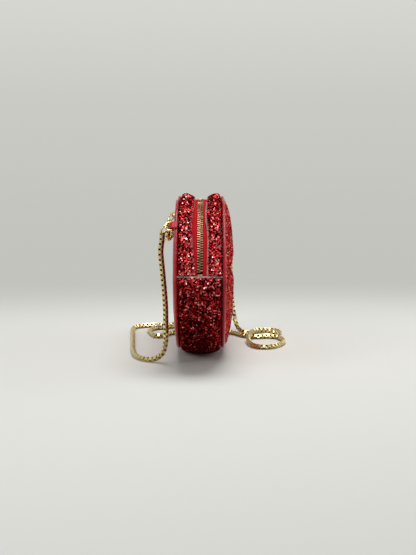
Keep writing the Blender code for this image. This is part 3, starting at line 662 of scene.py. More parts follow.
def hexagons(name, sizes, film):
    """The tree that scatters flat six-sided flakes over a sheet's face, each tilted its own way."""
    add, size = pattern(name, sizes)

    def drawn(low, high, seed, kind="FLOAT_VECTOR"):
        own_seed = sum_of(size["Seed"], "ADD", seed)
        value = add("RandomValue", {"Min": low, "Max": high, "Seed": own_seed}, data_type=kind)
        return value.outputs[int(kind == "FLOAT")]

    outside = add(
        "Compare", {"A": add("InputMaterialIndex"), "B": 0},
        data_type="INT", operation="EQUAL",
    )
    spots = add("DistributePointsOnFaces", {
        "Mesh": size["Geometry"], "Selection": outside, "Density": size["Per Square Metre"],
        "Seed": size["Seed"],
    })
    disc = add("MeshCircle", {"Vertices": 6, "Radius": size["Radius"]}, fill_type="NGON")
    lift = add("CombineXYZ", {"Z": size["Lift"]})
    flake = add("Transform", {"Geometry": disc, "Translation": lift})
    most = add("CombineXYZ", {"X": size["Tilt"], "Y": size["Tilt"], "Z": pi})
    turn = add("VectorMath", {0: drawn((-1, -1, -1), (1, 1, 1), 1.0), 1: most}, operation="MULTIPLY")
    own = add("EulerToRotation", {0: turn})
    facing = add(
        "RotateRotation", {"Rotation": spots.outputs["Rotation"], "Rotate By": own},
        rotation_space="LOCAL",
    )
    flakes = add("InstanceOnPoints", {
        "Points": spots, "Instance": flake, "Rotation": facing,
        "Scale": drawn(*FLAKE_SCALES, 2.0),
    })
    marked = add(
        "StoreNamedAttribute",
        {"Geometry": flakes, "Name": "flake_shade", "Value": drawn(0.0, 1.0, 3.0, "FLOAT")},
        data_type="FLOAT", domain="INSTANCE",
    )
    return close_pattern(marked, film)


def flake_finish(name, stops, roughness, clumps):
    """The film that flakes are cut from: each has its own shade, and mirrors what it faces.

    Clumps is how far the shade also drifts from place to place."""
    made, tree, shader = finish_of(name, roughness, metallic=1.0, Specular_Tint=EDGE_RED)
    own = put(tree, "Attribute", attribute_name="flake_shade").outputs["Fac"]
    drift = texture(tree, "Noise", {"Scale": 260.0, "Detail": 2.0})
    more = sum_of(drift, "SUBTRACT", 0.5, "MULTIPLY", clumps)
    scuff = texture(tree, "Noise", {"Scale": 1800.0, "Detail": 2.0})
    plug(shader, {
        "Base Color": shades(sum_of(own, "ADD", more), stops),
        "Roughness": ranged(scuff, roughness * 0.6, roughness * 1.4),
    })
    return made


def glitter_ground(name, grain, stops, tilt):
    """The layer of glitter under the loose flakes: each cell has its own shade and its own lean."""
    made, tree, shader = finish_of(name, 0.36, metallic=0.95, Specular_Tint=EDGE_RED)
    cells = texture(tree, "Voronoi", {"Scale": 1 / grain, "Randomness": 1.0}).outputs["Color"]
    normal = cells
    for act, sockets in (
        ("SUBTRACT", {1: (0.5, 0.5, 0.5)}), ("SCALE", {"Scale": tilt}),
        ("ADD", {1: put(tree, "NewGeometry").outputs["Normal"]}), ("NORMALIZE", {}),
    ):
        normal = put(tree, "VectorMath", {0: normal, **sockets}, operation=act)
    own = put(tree, "SeparateColor", {"Color": cells})
    plug(shader, {"Base Color": shades(own, stops), "Normal": normal})
    return made


def glitter(word, sizes, grain, tilt, stops, roughness, clumps=0.0):
    """One kind of glitter: its ground, and the tree that scatters its loose flakes."""
    film = flake_finish(f"{word}_film", stops, roughness, clumps)
    ground = glitter_ground(f"{word}_glitter", grain, stops, tilt)
    return ground, hexagons(f"{word}_flakes", sizes, film)


FINE_FLAKES = {
    "Per Square Metre": 820000.0, "Radius": 0.00058, "Tilt": 1.0, "Lift": 0.00008, "Seed": 11,
}
FINE_GRAIN = 0.00055
FINE_TILT = 0.9
FINE_GROUND, fine_tree = glitter("fine", FINE_FLAKES, FINE_GRAIN, FINE_TILT, [
    (0.0, (0.02, 0.001, 0.003)), (0.25, (0.14, 0.002, 0.005)), (0.45, (0.50, 0.012, 0.016)),
    (0.72, (0.86, 0.065, 0.062)), (0.90, (0.96, 0.21, 0.19)), (1.0, (1.0, 0.58, 0.54)),
], roughness=0.30, clumps=2.0)
# A dark glitter ground without flakes: painted shade along the seams and in the mouth's crease.
SEAM_SHADE = glitter_ground(
    "seam_shade_glitter", FINE_GRAIN, [(0.0, (0.008, 0.0, 0.001)), (1.0, (0.13, 0.002, 0.005))], 0.6
)
BACKING = textured(
    "leather_backing", 0.9, "Noise", {"Scale": 1700.0, "Detail": 5.0},
    [(0.3, (0.22, 0.15, 0.13)), (0.7, (0.46, 0.34, 0.30))], 0.0001,
)


def puckered(point, side, gather):
    """A point on a padded face, lifted by soft lumps and by puckers where gather is near 1."""
    lump = noise.noise(point * LUMP_SCALE) * LUMP
    across = Vector((point.x / PUCKER_PITCH, point.z / PUCKER_PITCH / PUCKER_STRETCH, PUCKER_PLACE))
    fold = noise.noise(across) * PUCKER * gather
    return point + Vector((0, side * (lump + fold), 0))


def lumpy(plain, side, gathers):
    """A padded face with its lumps and puckers. Each column's ends stay where they are sewn."""
    last = len(gathers) - 1
    return [
        [puckered(p, side, gathers[k]) if 0 < k < last else p for k, p in enumerate(line)]
        for line in plain
    ]


def flaked(sheet, name, tree, sizes, node):
    """Fastens a sheet of glitter leather with its loose flakes."""
    flakes = grow(f"{name}_flakes", sheet.data.copy(), tree, sizes)
    fit(sheet, "glitter_leather", node)
    fit(flakes, "glitter_leather")


def moved_in(face, depth):
    return [[p + Vector((0, depth, 0)) for p in line] for line in face]


gathers = [exp(-min(k, LIP_ROWS - 1 - k) / PUCKER_ROWS) for k in range(LIP_ROWS)]
for name, upper in (("lower", False), ("upper", True)):

    def lip_shares(mouth):
        gap = CLEARANCE / 2 / SEAM_RISE
        if upper:
            return [1 - (1 - mouth - gap) * share for share in eased(LIP_ROWS)]
        return [(mouth - gap) * share for share in eased(LIP_ROWS)]

    plain = face_rows(-1, HALF + SKIN / 2, FRONT_PUFF, RIM, LIP_COLUMNS, lip_shares, True)
    face = lumpy(plain, -1, gathers)
    lip = closed_sheet(
        f"{name}_lip_leather", face, moved_in(face, SKIN), [FINE_GROUND, SEAM_SHADE, BACKING],
        # Beside the mouth seam the lip takes the dark ground: painted shade in the crease.
        lambda i, j: int((face[i][j] - face[i][-1]).length < MOUTH_SHADE_WIDTH),
    )
    flaked(lip, f"{name}_lip", fine_tree, FINE_FLAKES, f"front_{name}_lip")

# Back panel. One piece of plain red leather with a fine printed grain is pulled over the thin back
# pad, and sewn in at the back seam all the way round.

BACK_COLUMNS = 160
BACK_ROWS = 60


def leather(name, deep, light, roughness, grain, depth, coat=0.1):
    """Coated red leather: a pebbled grain, a little drift in its colour and a soft gloss."""
    made, tree, shader = finish_of(
        name, roughness, Coat_Weight=coat, Coat_Roughness=0.2, Specular_IOR_Level=0.28
    )
    drift = texture(tree, "Noise", {"Scale": 60.0, "Detail": 4.0})
    pebbles = texture(tree, "Voronoi", {"Scale": 1 / grain}, feature="DISTANCE_TO_EDGE")
    top = ranged(pebbles, 0, 1, end=0.25)
    plug(shader, {
        "Base Color": shades(drift, [(0.1, deep), (0.9, light)]),
        "Roughness": ranged(top, roughness * 1.3, roughness * 0.85),
    })
    raised(shader, top, depth)
    return made


PANEL_LEATHER = leather(
    "red_leather", (0.27, 0.003, 0.010), (0.36, 0.006, 0.017), 0.42, 0.0009, 0.00005
)
shares = eased(BACK_ROWS)
plain = face_rows(1, HALF + SKIN / 2, BACK_PUFF, RIM, BACK_COLUMNS, lambda mouth: shares, False)
face = lumpy(plain, 1, [0] * BACK_ROWS)
back_leather = closed_sheet("back_panel_leather", face, moved_in(face, -SKIN), [PANEL_LEATHER, BACKING])
fit(back_leather, "red_leather", "back_panel")

# Piping. A round cord wrapped in smooth red leather edges each face of the bag. Its leather is sewn
# into the seam, all the way round.

PIPING_RADIUS = 0.0015
PIPING_POINTS = 230

PIPING_LEATHER = leather(
    "piping_leather", (0.36, 0.004, 0.014), (0.47, 0.009, 0.024), 0.24, 0.0014, 0.00003
)


def wire(name, points, radius, look, cyclic, fineness=3):
    """A round wire or cord of this radius along a line of points."""
    curve = open_curve(name, points, cyclic)
    curve.bevel_depth = radius
    curve.bevel_resolution = fineness
    curve.use_fill_caps = not cyclic
    mesh = evaluated(name, curve)
    work = bmesh.new()
    work.from_mesh(mesh)
    bmesh.ops.remove_doubles(work, verts=work.verts, dist=radius / 100)
    bpy.data.meshes.remove(mesh)
    return from_work(name, work, [look])


for name, side in (("front", -1), ("back", 1)):
    pairs = columns(0, PIPING_POINTS)
    outline = [low for low, _ in pairs] + [high for _, high in reversed(pairs)]
    line = laid_at(outline, side * HALF)
    cord = wire(f"{name}_piping_cord", line, PIPING_RADIUS, PIPING_LEATHER, True, 4)
    fit(cord, "red_leather", f"{name}_piping")

# Bottom gusset. One band of chunky glitter leather runs under the bag from one end of the zip to the
# other. Its two cut ends lie over the zip's ends, sewn down across, and show the grey-brown backing.

GUSSET_COLUMNS = 210
GUSSET_ROWS = 40
SEAM_ROWS = 5  # how many rows beside each seam take the dark ground of painted seam shade, without flakes
FREE_HALF = HALF - PIPING_RADIUS - CLEARANCE
CHUNKY_FLAKES = {
    "Per Square Metre": 620000.0, "Radius": 0.00105, "Tilt": 0.55, "Lift": 0.00014, "Seed": 23,
}
CHUNKY_GRAIN = 0.0015
CHUNKY_TILT = 1.1
CROWN_POWER = 4  # how flat the crown's top is, from seam to seam
END_POWER = 6  # how late the crown falls off towards the cut ends
END_SEW_IN = 0.0028  # from the cut end to the stitches across it
END_SEW_SHARE = 0.9  # of the gusset's width, taken up by those stitches
END_SEW_POINTS = 101
STITCH_SIZES = {"Pitch": 0.0034, "Length": 0.0022, "Thread": 0.00080}

# A darker copy of the chunky glitter, the same leather as the strips: painted shade, as the gusset
# faces down and away from the light above.
SHADED_GUSSET_GROUND, shaded_gusset_tree = glitter("deep", CHUNKY_FLAKES, CHUNKY_GRAIN, CHUNKY_TILT, [
    (0.0, (0.003, 0.0, 0.001)), (0.38, (0.010, 0.001, 0.002)), (0.50, (0.10, 0.002, 0.005)),
    (0.72, (0.37, 0.012, 0.016)), (0.92, (0.70, 0.060, 0.058)), (1.0, (0.95, 0.36, 0.33)),
], roughness=0.24, clumps=0.7)


def gusset_point(s, v, inside):
    crown = GUSSET_CROWN * (1 - (s / ZIP_S) ** END_POWER)
    point = at(s, FREE_HALF * v, SKIN / 2 + crown * (1 - v**CROWN_POWER) - inside)
    point.z = max(point.z, inside)
    return point


def two_grids(point, places, across, thickness=SKIN):
    """The outside and the inside of a sheet that follows point(s, v, how far inside)."""
    return [[[point(s, v, inside) for v in across] for s in places] for inside in (0, thickness)]


face, back = two_grids(
    gusset_point, [ZIP_S * (2 * i / (GUSSET_COLUMNS - 1) - 1) for i in range(GUSSET_COLUMNS)],
    [2 * share - 1 for share in eased(GUSSET_ROWS)],
)


def bare(i, j):
    """The raw cut ends show the backing. The rows beside each seam take the dark ground of painted seam
    shade, and so does the patch that the bag stands on; neither has flakes.
    """
    if i in (0, GUSSET_COLUMNS - 2):
        return 2
    return int(face[i][j].z < PRESSED / 2 or min(j, GUSSET_ROWS - 2 - j) < SEAM_ROWS)


gusset = closed_sheet("bottom_gusset_leather", face, back, [SHADED_GUSSET_GROUND, SEAM_SHADE, BACKING], bare)
flaked(gusset, "bottom_gusset", shaded_gusset_tree, CHUNKY_FLAKES, "bottom_gusset")


def stitch_row():
    """The tree that lays short stitches of round thread along a curve."""
    add, size = pattern("stitch_row", STITCH_SIZES)
    spots = add("ResampleCurve", {"Curve": size["Geometry"], "Length": size["Pitch"]}, mode="LENGTH")
    ball = add("MeshUVSphere", {"Segments": 6, "Rings": 5, "Radius": 0.5})
    facing = add("AlignRotationToVector", {"Vector": add("InputTangent")}, axis="X")
    shape = {"X": size["Length"], "Y": size["Thread"], "Z": size["Thread"]}
    laid = add("InstanceOnPoints", {
        "Points": spots, "Instance": ball, "Rotation": facing,
        "Scale": add("CombineXYZ", shape),
    })
    return close_pattern(laid, THREAD)


THREAD = textured(
    "sewing_thread", 0.55, "Wave", {"Scale": 900.0, "Distortion": 2.0},
    [(0.2, (0.50, 0.03, 0.06)), (0.8, (0.78, 0.16, 0.20))], 0.00006,
    output="Fac", settings={"bands_direction": "DIAGONAL"}, Sheen_Weight=0.3,
)
stitch_tree = stitch_row()


def stitched(name, line):
    sewn = grow(name, open_curve("sewn_line", line), stitch_tree, STITCH_SIZES)
    fit(sewn, "glitter_leather")


for word, end in (("near", -1), ("far", 1)):
    shares = [END_SEW_SHARE * (2 * k / (END_SEW_POINTS - 1) - 1) for k in range(END_SEW_POINTS)]
    s = end * (ZIP_S - END_SEW_IN)
    stitched(f"{word}_end_stitches", [gusset_point(s, v, -CHUNKY_FLAKES["Lift"]) for v in shares])

# Zip strips. Two narrow puffy bands of the same chunky glitter cover the top between each seam and
# the zip. Their inner edges are left raw and stitched to the zip's tapes.

STRIP_COLUMNS = 200
STRIP_ROWS = 26
STRIP_CROWN = 0.0037
CREST_POWER = 0.72  # below 1, so that a strip is fullest towards its outer side
FULL_POWER = 0.85  # below 1, so that it is fuller than a sine
END_CROWN = 0.3  # of its crown, left at the zip's ends
END_REACH = 4  # in crowns, from an end to where it has all of its crown
RECESS = 0.0022  # how deep the zip lies under the seam line
SLOPE_S = sum(map(arc_length, HALF_SEAM[3:5]))  # from the zip's end up to the peak
RAW_EDGES = {  # places along the slope, and how far the cut edge is from the zip's middle there
    -1: (
        (0, 0.0063), (0.38, 0.0067), (0.48, 0.0063), (0.60, 0.0048), (0.70, 0.0047), (0.86, 0.0056),
        (1.05, 0.0056), (1.5, 0.0068),
    ),
    1: (
        (0, 0.0045), (0.10, 0.0048), (0.20, 0.0058), (0.30, 0.0071), (0.50, 0.0079), (0.66, 0.0076),
        (0.84, 0.0056), (1.05, 0.0052), (1.5, 0.0068),
    ),
}
SLIDER_ROOM = 0.0062  # from the zip's middle, kept free on the far side
RAW_SHARE = {"front": 0.885, "back": 0.965}  # where the glitter ends and the raw edge shows
STITCH_SHARE = 0.90
STITCH_POINTS = 401
STRIP_SEED = 31

CHUNKY_GROUND, chunky_tree = glitter("chunky", CHUNKY_FLAKES, CHUNKY_GRAIN, CHUNKY_TILT, [
    (0.0, (0.003, 0.0, 0.001)), (0.30, (0.012, 0.0, 0.001)), (0.42, (0.19, 0.002, 0.006)),
    (0.62, (0.58, 0.025, 0.031)), (0.84, (0.77, 0.11, 0.105)), (0.95, (0.85, 0.27, 0.26)),
    (1.0, (0.90, 0.46, 0.44)),
], roughness=0.22)


def past_end(s):
    """How far a place over the top is from the zip's nearer end."""
    return TOP_S - abs(TOP_S - s) - ZIP_S


def raw_edge(side, s):
    """How far from the zip's middle a strip's raw edge lies, s along the seam."""
    along = past_end(s) / SLOPE_S
    places = RAW_EDGES[side]
    for (start, first), (end, last) in zip(places, places[1:]):
        if along <= end:
            break
    share = (1 - cos(pi * (along - start) / (end - start))) / 2
    half = first + (last - first) * share
    return half if s > TOP_S else max(half, SLIDER_ROOM)


def strip_point(side, s, v, inside):
    risen = min(past_end(s), END_REACH * STRIP_CROWN) / STRIP_CROWN / END_REACH
    crown = STRIP_CROWN * (END_CROWN + (1 - END_CROWN) * sin(risen * pi / 2))
    edge_in = CLEARANCE + SKIN - RECESS
    swell = crown * max(sin(pi * v**CREST_POWER), 0) ** FULL_POWER
    y = side * (FREE_HALF + (raw_edge(side, s) - FREE_HALF) * v)
    return at(s, y, SKIN / 2 + (edge_in - SKIN / 2) * v + swell - inside)


across = eased(STRIP_ROWS)
along = top_places(ZIP_S + CLEARANCE, STRIP_COLUMNS)
for word, side in (("front", -1), ("back", 1)):
    face, back = two_grids(partial(strip_point, side), along, across)
    raw = RAW_SHARE[word]
    strip = closed_sheet(
        f"zip_strip_{word}_leather", face, back, [CHUNKY_GROUND, SEAM_SHADE, BACKING],
        # Beside the seam the strip takes the dark ground of painted seam shade; past its raw share it
        # shows the backing.
        lambda i, j: 2 if (across[j] + across[j + 1]) / 2 > raw else int(j < SEAM_ROWS),
    )
    seeded = {**CHUNKY_FLAKES, "Seed": STRIP_SEED + side}
    flaked(strip, f"zip_strip_{word}", chunky_tree, seeded, f"zip_strip_{word}")
    sewn = top_places(ZIP_S + STITCH_SIZES["Pitch"], STITCH_POINTS)
    stitched(f"zip_strip_{word}_stitches", [strip_point(side, s, STITCH_SHARE, 0) for s in sewn])

# Zip. Two woven tapes each carry a row of antique brass teeth clamped on their inner edges, and the
# rows mesh from the parked slider, over both peaks, to the stop at the near end.

TAPE = 0.0006
TAPE_SPLIT = 0.0054  # between the two tapes
TAPE_TUCK = 0.0060  # how far they reach under the gusset's ends
TAPE_COLUMNS = 240
TAPE_STRIPS = 8
BOARD = 0.0012
INNER_HALF = BOARD_FACE - BOARD - CLEARANCE  # what the boards leave free on each side
TOOTH_PITCH = 0.0028
TOOTH_ROOT = 0.0014
TOOTH_HEIGHT = 0.0024
TOOTH_PAST = 0.0005  # how far a tooth reaches past the zip's middle
TOOTH_LINE_POINTS = 501
TOOTH_EDGE = 0.00018
STOP_LENGTH = 0.0020
STOP_EDGE = 0.0003
SLIDER_LENGTH = 0.0090
SLIDER_REAR = 0.0078
TOOTH_MIDDLE = -RECESS - TAPE / 2
STOP_S = ZIP_S + 2 * CLEARANCE + STOP_LENGTH / 2
PARK_S = STOP_S + STOP_LENGTH / 2 + 2 * CLEARANCE + SLIDER_LENGTH / 2
TOOTH_SIZES = {
    "Teeth": 2, "Root": TOOTH_ROOT, "Reach": TAPE_SPLIT / 2 + TOOTH_PAST, "Height": TOOTH_HEIGHT,
    "Head Share": 0.55, "Side": 1.0,
}

OLD_BRASS = plated("antique_brass", (0.24, 0.115, 0.062), (0.53, 0.290, 0.168), 0.36)

tape_cloth, tape_tree, tape_shader = finish_of("zip_tape", 0.75, Specular_IOR_Level=0.1)
tape_place = put(tape_tree, "UVMap", uv_map="along_and_across")
spun, ribs = (
    put(
        tape_tree, "TexWave", {"Vector": tape_place, "Scale": scale, "Distortion": bent},
        bands_direction=way,
    ).outputs["Fac"]
    for scale, bent, way in ((420.0, 0.6, "DIAGONAL"), (180.0, 0.2, "Y"))
)
ribbed = sum_of(ribs, "MULTIPLY", 0.4)
weave = sum_of(spun, "MULTIPLY", 0.6, "ADD", ribbed)
tape_colours = [(0.15, (0.34, 0.001, 0.005)), (0.8, (0.66, 0.003, 0.012))]
plug(tape_shader, {"Base Color": shades(weave, tape_colours)})
raised(tape_shader, weave, 0.00010)


def meshing_teeth():
    """The tree that clamps slim-headed teeth along a curve, all reaching to the same side."""
    add, size = pattern("meshing_teeth", TOOTH_SIZES)
    cube = add("MeshCube", {"Size": (1, 1, 1), "Vertices X": 2, "Vertices Y": 3, "Vertices Z": 2})
    spot = add("SeparateXYZ", {0: add("InputPosition")}).outputs
    head = ranged(spot["Y"], 1, size["Head Share"], -0.5, 0.5, interpolation_type="SMOOTHSTEP")
    formed = add("CombineXYZ", {
        "X": sum_of(spot["X"], "MULTIPLY", head, "MULTIPLY", size["Root"]),
        "Y": sum_of(
            spot["Y"], "ADD", -0.5, "MULTIPLY", size["Reach"],
            "ADD", TOOTH_PAST, "MULTIPLY", size["Side"],
        ),
        "Z": sum_of(spot["Z"], "MULTIPLY", head, "MULTIPLY", size["Height"]),
    })
    tooth = add("SetPosition", {"Geometry": cube, "Position": formed})
    spots = add("ResampleCurve", {"Curve": size["Geometry"], "Count": size["Teeth"]}, mode="COUNT")
    facing = add(
        "AxesToRotation",
        {"Primary Axis": add("InputTangent"), "Secondary Axis": (0, 1, 0)},
        primary_axis="X", secondary_axis="Y",
    )
    row = add("InstanceOnPoints", {"Points": spots, "Instance": tooth, "Rotation": facing})
    return close_pattern(row, OLD_BRASS)


def rounded(piece, width, segments=2):
    """Breaks a piece's sharp edges."""
    edge = piece.modifiers.new("edges", "BEVEL")
    edge.width = width
    edge.segments = segments
    edge.limit_method = "ANGLE"
    edge.angle_limit = radians(35)
    return piece


def block(name, s, inner, outer):
    """A small stamped block over the tapes, as tall as the teeth, between these depths."""
    work = bmesh.new()
    middle, width = (inner + outer) / 2, abs(outer - inner)
    for vert in bmesh.ops.create_cube(work, size=1)["verts"]:
        a, b, c = vert.co
        vert.co = at(s + a * STOP_LENGTH, middle + b * width, TOOTH_MIDDLE + c * TOOTH_HEIGHT)
    return rounded(from_work(name, work, [OLD_BRASS], 30), STOP_EDGE)


def tape_point(s, y, inside):
    """A tape's ends dip by its own thickness, to lie under the gusset's ends."""
    tucked = max(ZIP_S + CLEARANCE - TOP_S + abs(TOP_S - s), 0)
    return at(s, y, -RECESS - min(tucked, TAPE) - inside)


teeth_tree = meshing_teeth()
widths = [(INNER_HALF - TAPE_SPLIT / 2) * k / TAPE_STRIPS for k in range(TAPE_STRIPS + 1)]
for word, side in (("front", -1), ("back", 1)):
    across = [side * (TAPE_SPLIT / 2 + width) for width in widths]
    face, back = two_grids(tape_point, top_places(ZIP_S - TAPE_TUCK, TAPE_COLUMNS), across, TAPE)
    tape = closed_sheet(f"zip_tape_{word}", face, back, [tape_cloth])
    lay = tape.data.uv_layers.new(name="along_and_across")
    for corner in tape.data.loops:
        co = tape.data.vertices[corner.vertex_index].co
        lay.data[corner.index].uv = (co.x + co.z, co.y)
    fit(tape, "zip_tape", f"zip_half_{word}")
    start = PARK_S + TOOTH_ROOT / 2 + (side + 1) * TOOTH_PITCH / 4
    run = 2 * TOP_S - start - STOP_S - STOP_LENGTH / 2 - CLEARANCE - TOOTH_ROOT
    count = int(run / TOOTH_PITCH)
    line = [
        at(start + count * TOOTH_PITCH * k / (TOOTH_LINE_POINTS - 1), 0, TOOTH_MIDDLE)
        for k in range(TOOTH_LINE_POINTS)
    ]
    sizes = {**TOOTH_SIZES, "Teeth": count + 1, "Side": float(side)}
    teeth = grow(f"zip_teeth_{word}", open_curve("teeth_line", line), teeth_tree, sizes)
    fit(rounded(teeth, TOOTH_EDGE, 1), "antique_brass")
    stop = block(
        f"zip_top_stop_{word}", STOP_S, side * (TAPE_SPLIT / 2 - TOOTH_ROOT), side * SLIDER_REAR / 2
    )
    fit(stop, "antique_brass")

bottom_stop = block(
    "zip_bottom_stop_block", -STOP_S, CLEARANCE - TAPE_SPLIT / 2, TAPE_SPLIT / 2 - CLEARANCE
)
fit(bottom_stop, "antique_brass", "zip_bottom_stop")

# Slider and puller. The slider is cast in brass in two channelled plates, with a bail for the
# stamped drop-shaped puller. They are the frame's own shapes with their edges broken.

for name, node, body, edge in (
    ("zip_slider_body", "zip_slider", "slider", 0.00015),
    ("zip_puller_plate", "zip_puller", "puller", 0.00012),
):
    work = bmesh.new()
    work.from_mesh(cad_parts[node].data)
    bmesh.ops.remove_doubles(work, verts=work.verts, dist=0.00001)
    bmesh.ops.dissolve_limit(work, angle_limit=radians(1), verts=work.verts, edges=work.edges)
    fit(rounded(from_work(name, work, [OLD_BRASS], 30), edge), "antique_brass", node, body=body)

# Lining. A dark red cloth bag is glued to both boards and sewn to the zip's tapes along its top. It
# is two lip shaped walls joined by a band, and it hangs open under the zip.

LINING = 0.0007
LINING_COLUMNS = 90
WALL_STEPS = 22
BAND_STEPS = 8
LINING_TOP = RECESS + 2 * TAPE + 3 * CLEARANCE

lining_cloth, lining_tree, lining_shader = finish_of("lining_cloth", 0.6, Sheen_Weight=0.35)
warp, weft = (
    texture(lining_tree, "Wave", {"Scale": 500.0}, bands_direction=way).outputs["Fac"]
    for way in "XZ"
)
threads = sum_of(warp, "MAXIMUM", weft)
lining_colours = [(0.3, (0.035, 0.002, 0.004)), (0.9, (0.09, 0.006, 0.010))]
plug(lining_shader, {"Base Color": shades(threads, lining_colours)})
raised(lining_shader, threads, 0.00008)

outside, inside, wall_area, band_line = [], [], 0, []
across = [2 * k / BAND_STEPS - 1 for k in range(BAND_STEPS + 1)]
for i in range(LINING_COLUMNS):
    share = 2 * END_SHARE + (1 - 4 * END_SHARE) * i / (LINING_COLUMNS - 1)
    high = at(over_the_top(share, CORNER_S), 0, -LINING_TOP)
    low = at(CORNER_S * (1 - 2 * share), 0, -PAD_INSET)
    raised_low = at(CORNER_S * (1 - 2 * share), 0, -PAD_INSET - LINING)
    for grid, foot, depth in ((outside, low, INNER_HALF), (inside, raised_low, INNER_HALF - LINING)):
        wall = [high.lerp(foot, k / WALL_STEPS) for k in range(WALL_STEPS)]
        band = [Vector((foot.x, depth * v, foot.z)) for v in across]
        grid.append(laid_at(wall, -depth) + band + laid_at(reversed(wall), depth))
    band_line.append(low)
    if i:
        wall_area += (high - low).length * abs(low.x - band_line[-2].x)
lining = closed_sheet("cloth_lining", outside, inside, [lining_cloth])
fit(lining, "lining_cloth", "lining")
band_area = length_of(band_line) * 2 * INNER_HALF

# Strap tabs. A short strip of glossy red leather is folded round each D-ring's bar, and its two ends
# are sewn into the back seam.

TAB_S = ZIP_S + 0.0560
TAB_WIDTH = 0.0080
TAB_SKIN = 0.0010
TAB_OUT = 0.0042  # from the back seam to the bar that the tab is folded round
TAB_EDGE = 0.00025
D_WIRE_RADIUS = 0.0009
TAB_STEPS = 10
TAB_FOLD = 18  # steps of the fold's half turn
BAR_Y = HALF + TAB_OUT

TAB_LEATHER = leather(
    "tab_leather", (0.42, 0.001, 0.005), (0.56, 0.004, 0.010), 0.45, 0.0011, 0.00003, 0.0
)
bend_at = BAR_Y - PIPING_RADIUS + D_WIRE_RADIUS
middle = PIPING_RADIUS + CLEARANCE + TAB_SKIN / 2
for word, end in (("near", -1), ("far", 1)):
    path = [(HALF - PIPING_RADIUS + TAB_SKIN / 2, middle, 90)]
    path += [(bend_at, 0, 90 - 180 * k / TAB_FOLD) for k in range(TAB_FOLD + 1)]
    path += [(HALF + SKIN + TAB_SKIN, -middle, -90)]
    face, back = [], []
    for k in range(TAB_STEPS + 1):
        s = end * (TAB_S + TAB_WIDTH * (k / TAB_STEPS - 0.5))
        for grid, offset in ((face, TAB_SKIN / 2), (back, -TAB_SKIN / 2)):
            line = []
            for y, out, turn in path:
                lean = normal_at(turn)
                reach = offset + (middle if out == 0 else 0)
                line.append(at(s, y + reach * lean.x, out + reach * lean.y))
            grid.append(line)
    tab = closed_sheet(f"{word}_tab_leather", face, back, [TAB_LEATHER])
    fit(rounded(tab, TAB_EDGE), "red_leather", f"{word}_strap_tab")

# D-rings and round rings. Each tab holds a D bent from round wire, and a thinner ring joins it to
# the chain. Both are plated like the chain.

D_INSIDE = 0.0086
D_SIDE = 0.0022
D_BOW = 0.0036
D_CORNER = 0.0008
D_CORNER_STEP = 15  # degrees
D_BOW_STEPS = 32
RING_WIRE_RADIUS = 0.0008
RING_RADIUS = 0.0047
RING_DROP = 0.0027  # where the ring's middle is, from the middle of the D's bow
RING_OUT = 0.0010
RING_SLIDE = 0.0015
RING_YAW = 55.0  # degrees round the upright, and then over to one side
RING_LEAN = 30.0
RING_STEPS = 64
BOW_Y = BAR_Y + D_SIDE + D_BOW


def frame_of(place, *axes):
    return Matrix.Translation(place) @ Matrix(axes).transposed().to_4x4()


def d_frame(end):
    """A frame on the middle of a D-ring's bar: X up along the bar and Y out to the back."""
    _, normal = seam(end * TAB_S)
    up = Vector((-end * normal.y, 0, end * normal.x))
    out = Vector((0, 1, 0))
    return frame_of(at(end * TAB_S, BAR_Y, 0), up, out, up.cross(out))


def ring_frame(end):
    """A frame on a hanging ring's middle: Y and Z lie in the ring's plane, Z towards its top."""
    slid = Vector((end * RING_SLIDE, RING_OUT, -RING_DROP))
    yaw, lean = radians(RING_YAW), radians(RING_LEAN)
    across = Vector((end * sin(yaw), cos(yaw), 0))
    facing = Vector((-end * cos(yaw), sin(yaw), 0))
    top = cos(lean) * Vector((0, 0, 1)) - sin(lean) * facing
    return frame_of(at(end * TAB_S, BOW_Y, 0) + slid, across.cross(top), across, top)


half = D_INSIDE / 2 + D_WIRE_RADIUS
d_line = []
for side in (-1, 1):
    corner = Vector((side * (half - D_CORNER), D_CORNER, 0))
    turns = [radians(a) for a in range(0, 91, D_CORNER_STEP)]
    bent = [corner + D_CORNER * Vector((side * sin(a), -cos(a), 0)) for a in turns]
    d_line += bent if side > 0 else bent[::-1]
for k in range(D_BOW_STEPS + 1):
    angle = pi * k / D_BOW_STEPS
    d_line.append(Vector((half * cos(angle), D_SIDE + D_BOW * sin(angle), 0)))
turns = [2 * pi * k / RING_STEPS for k in range(RING_STEPS)]
round_line = [RING_RADIUS * Vector((0, cos(a), sin(a))) for a in turns]
for word, end in (("near", -1), ("far", 1)):
    for kind, place, line, radius in (
        ("d_ring", d_frame(end), d_line, D_WIRE_RADIUS),
        ("ring", ring_frame(end), round_line, RING_WIRE_RADIUS),
    ):
        name = f"{word}_{kind}"
        metal = wire(f"{name}_wire", [place @ p for p in line], radius, PALE_GOLD, True)
        fit(metal, "pale_gold", name, body=name)

# Stage. A plain pale table top that runs out into a plain pale grey background on every side, and
# soft lamps above it.

TABLE_COLOUR = (0.765, 0.768, 0.735)
BACKGROUND = (0.54, 0.548, 0.51)
FILL = 0.4  # how much of the background lights what doesn't mirror it
TABLE_SIZE = 12.0
POOL = {"X": (-0.395, 0.68), "Y": (0, 0.55)}  # the middle and the reach of the table's own colour
POOL_FADE = (0.77, 1.40)  # from where to where, in reaches, the table gives way to the background
PALE_FADE = (1.8, 8.0)  # in reaches, where what lies beyond gets paler, up to the horizon
FAR_TONES = ((0.0, 1.0), (0.1, 1.036), (0.5, 1.084), (1.0, 1.24))  # how pale, going up from there
FAR_RISE = (-0.05, 0.15)  # the heights of the looking direction that those tones span
LAMP_AIM = Vector((0, 0, 0.08))

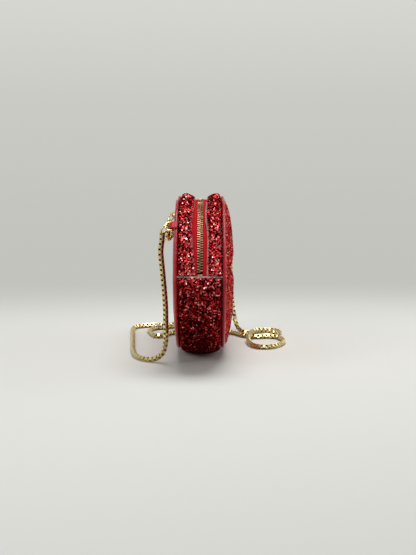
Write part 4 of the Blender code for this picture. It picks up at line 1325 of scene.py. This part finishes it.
table, table_tree, table_shader = finish_of("pale_table", 0.85)
plug(table_shader, {"Base Color": (*TABLE_COLOUR, 1)})
on_table = partial(put, table_tree)
where = on_table("TexCoord").outputs["Object"]
spot = on_table("SeparateXYZ", {0: where}).outputs
powers = [
    sum_of(spot[axis], "SUBTRACT", middle, "DIVIDE", reach, "POWER", 4.0)
    for axis, (middle, reach) in POOL.items()
]
away = sum_of(powers[0], "ADD", powers[1], "POWER", 0.25)
faded = ranged(away, 0, 1, *POOL_FADE, interpolation_type="SMOOTHSTEP")


def seen_by_eye(tree):
    """1 for what the camera sees, straight or in a mirror, and 0 for what only lights something."""
    ray = put(tree, "LightPath").outputs
    return sum_of(
        ray["Is Camera Ray"], "MAXIMUM", ray["Is Glossy Ray"],
        "MAXIMUM", ray["Is Transmission Ray"],
    )


paler = ranged(away, 1, FAR_TONES[1][1], *PALE_FADE)
haze = on_table("Emission", {"Color": (*BACKGROUND, 1), "Strength": paler})
hazy = sum_of(faded, "MULTIPLY", seen_by_eye(table_tree))
blended = on_table("MixShader", {0: hazy, 1: table_shader, 2: haze})
plug(table_tree.nodes["Material Output"], {"Surface": blended})
work = bmesh.new()
bmesh.ops.create_grid(work, x_segments=1, y_segments=1, size=TABLE_SIZE / 2)
from_work("table_top", work, [table])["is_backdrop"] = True

for name, place, size, power in (  # in metres, metres and watts
    ("top_lamp", (0.02, -0.12, 1.20), 0.8, 11.0),
    ("side_lamp", (-0.55, 0.80, 0.60), 0.5, 2.2),
    ("front_lamp", (0.30, -1.00, 0.50), 0.7, 1.8),
):
    lamp = aimed(name, bpy.data.lights.new(name, "AREA"), place, LAMP_AIM - Vector(place)).data
    lamp.shape = "DISK"
    lamp.size = size
    lamp.energy = power

world = bpy.data.worlds.new("studio")
bpy.context.scene.world = world
world.use_nodes = True
sky_tree = world.node_tree
in_sky = partial(put, sky_tree)
way = in_sky("SeparateXYZ", {0: in_sky("TexCoord").outputs["Generated"]})
rise = ranged(way.outputs["Z"], 0, 1, *FAR_RISE)
watched = in_sky("LightPath").outputs["Is Camera Ray"]
tones = [(spot, [tone * c for c in BACKGROUND]) for spot, tone in FAR_TONES]
plug(sky_tree.nodes["Background"], {
    "Color": shades(sum_of(rise, "MULTIPLY", watched), tones),
    "Strength": sum_of(seen_by_eye(sky_tree), "MAXIMUM", FILL),
})

bpy.context.scene.view_settings.view_transform = "Standard"

low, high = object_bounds()
sizes = {"cad": [list(cad_low), list(cad_high)], "visual": [list(low), list(high)]}
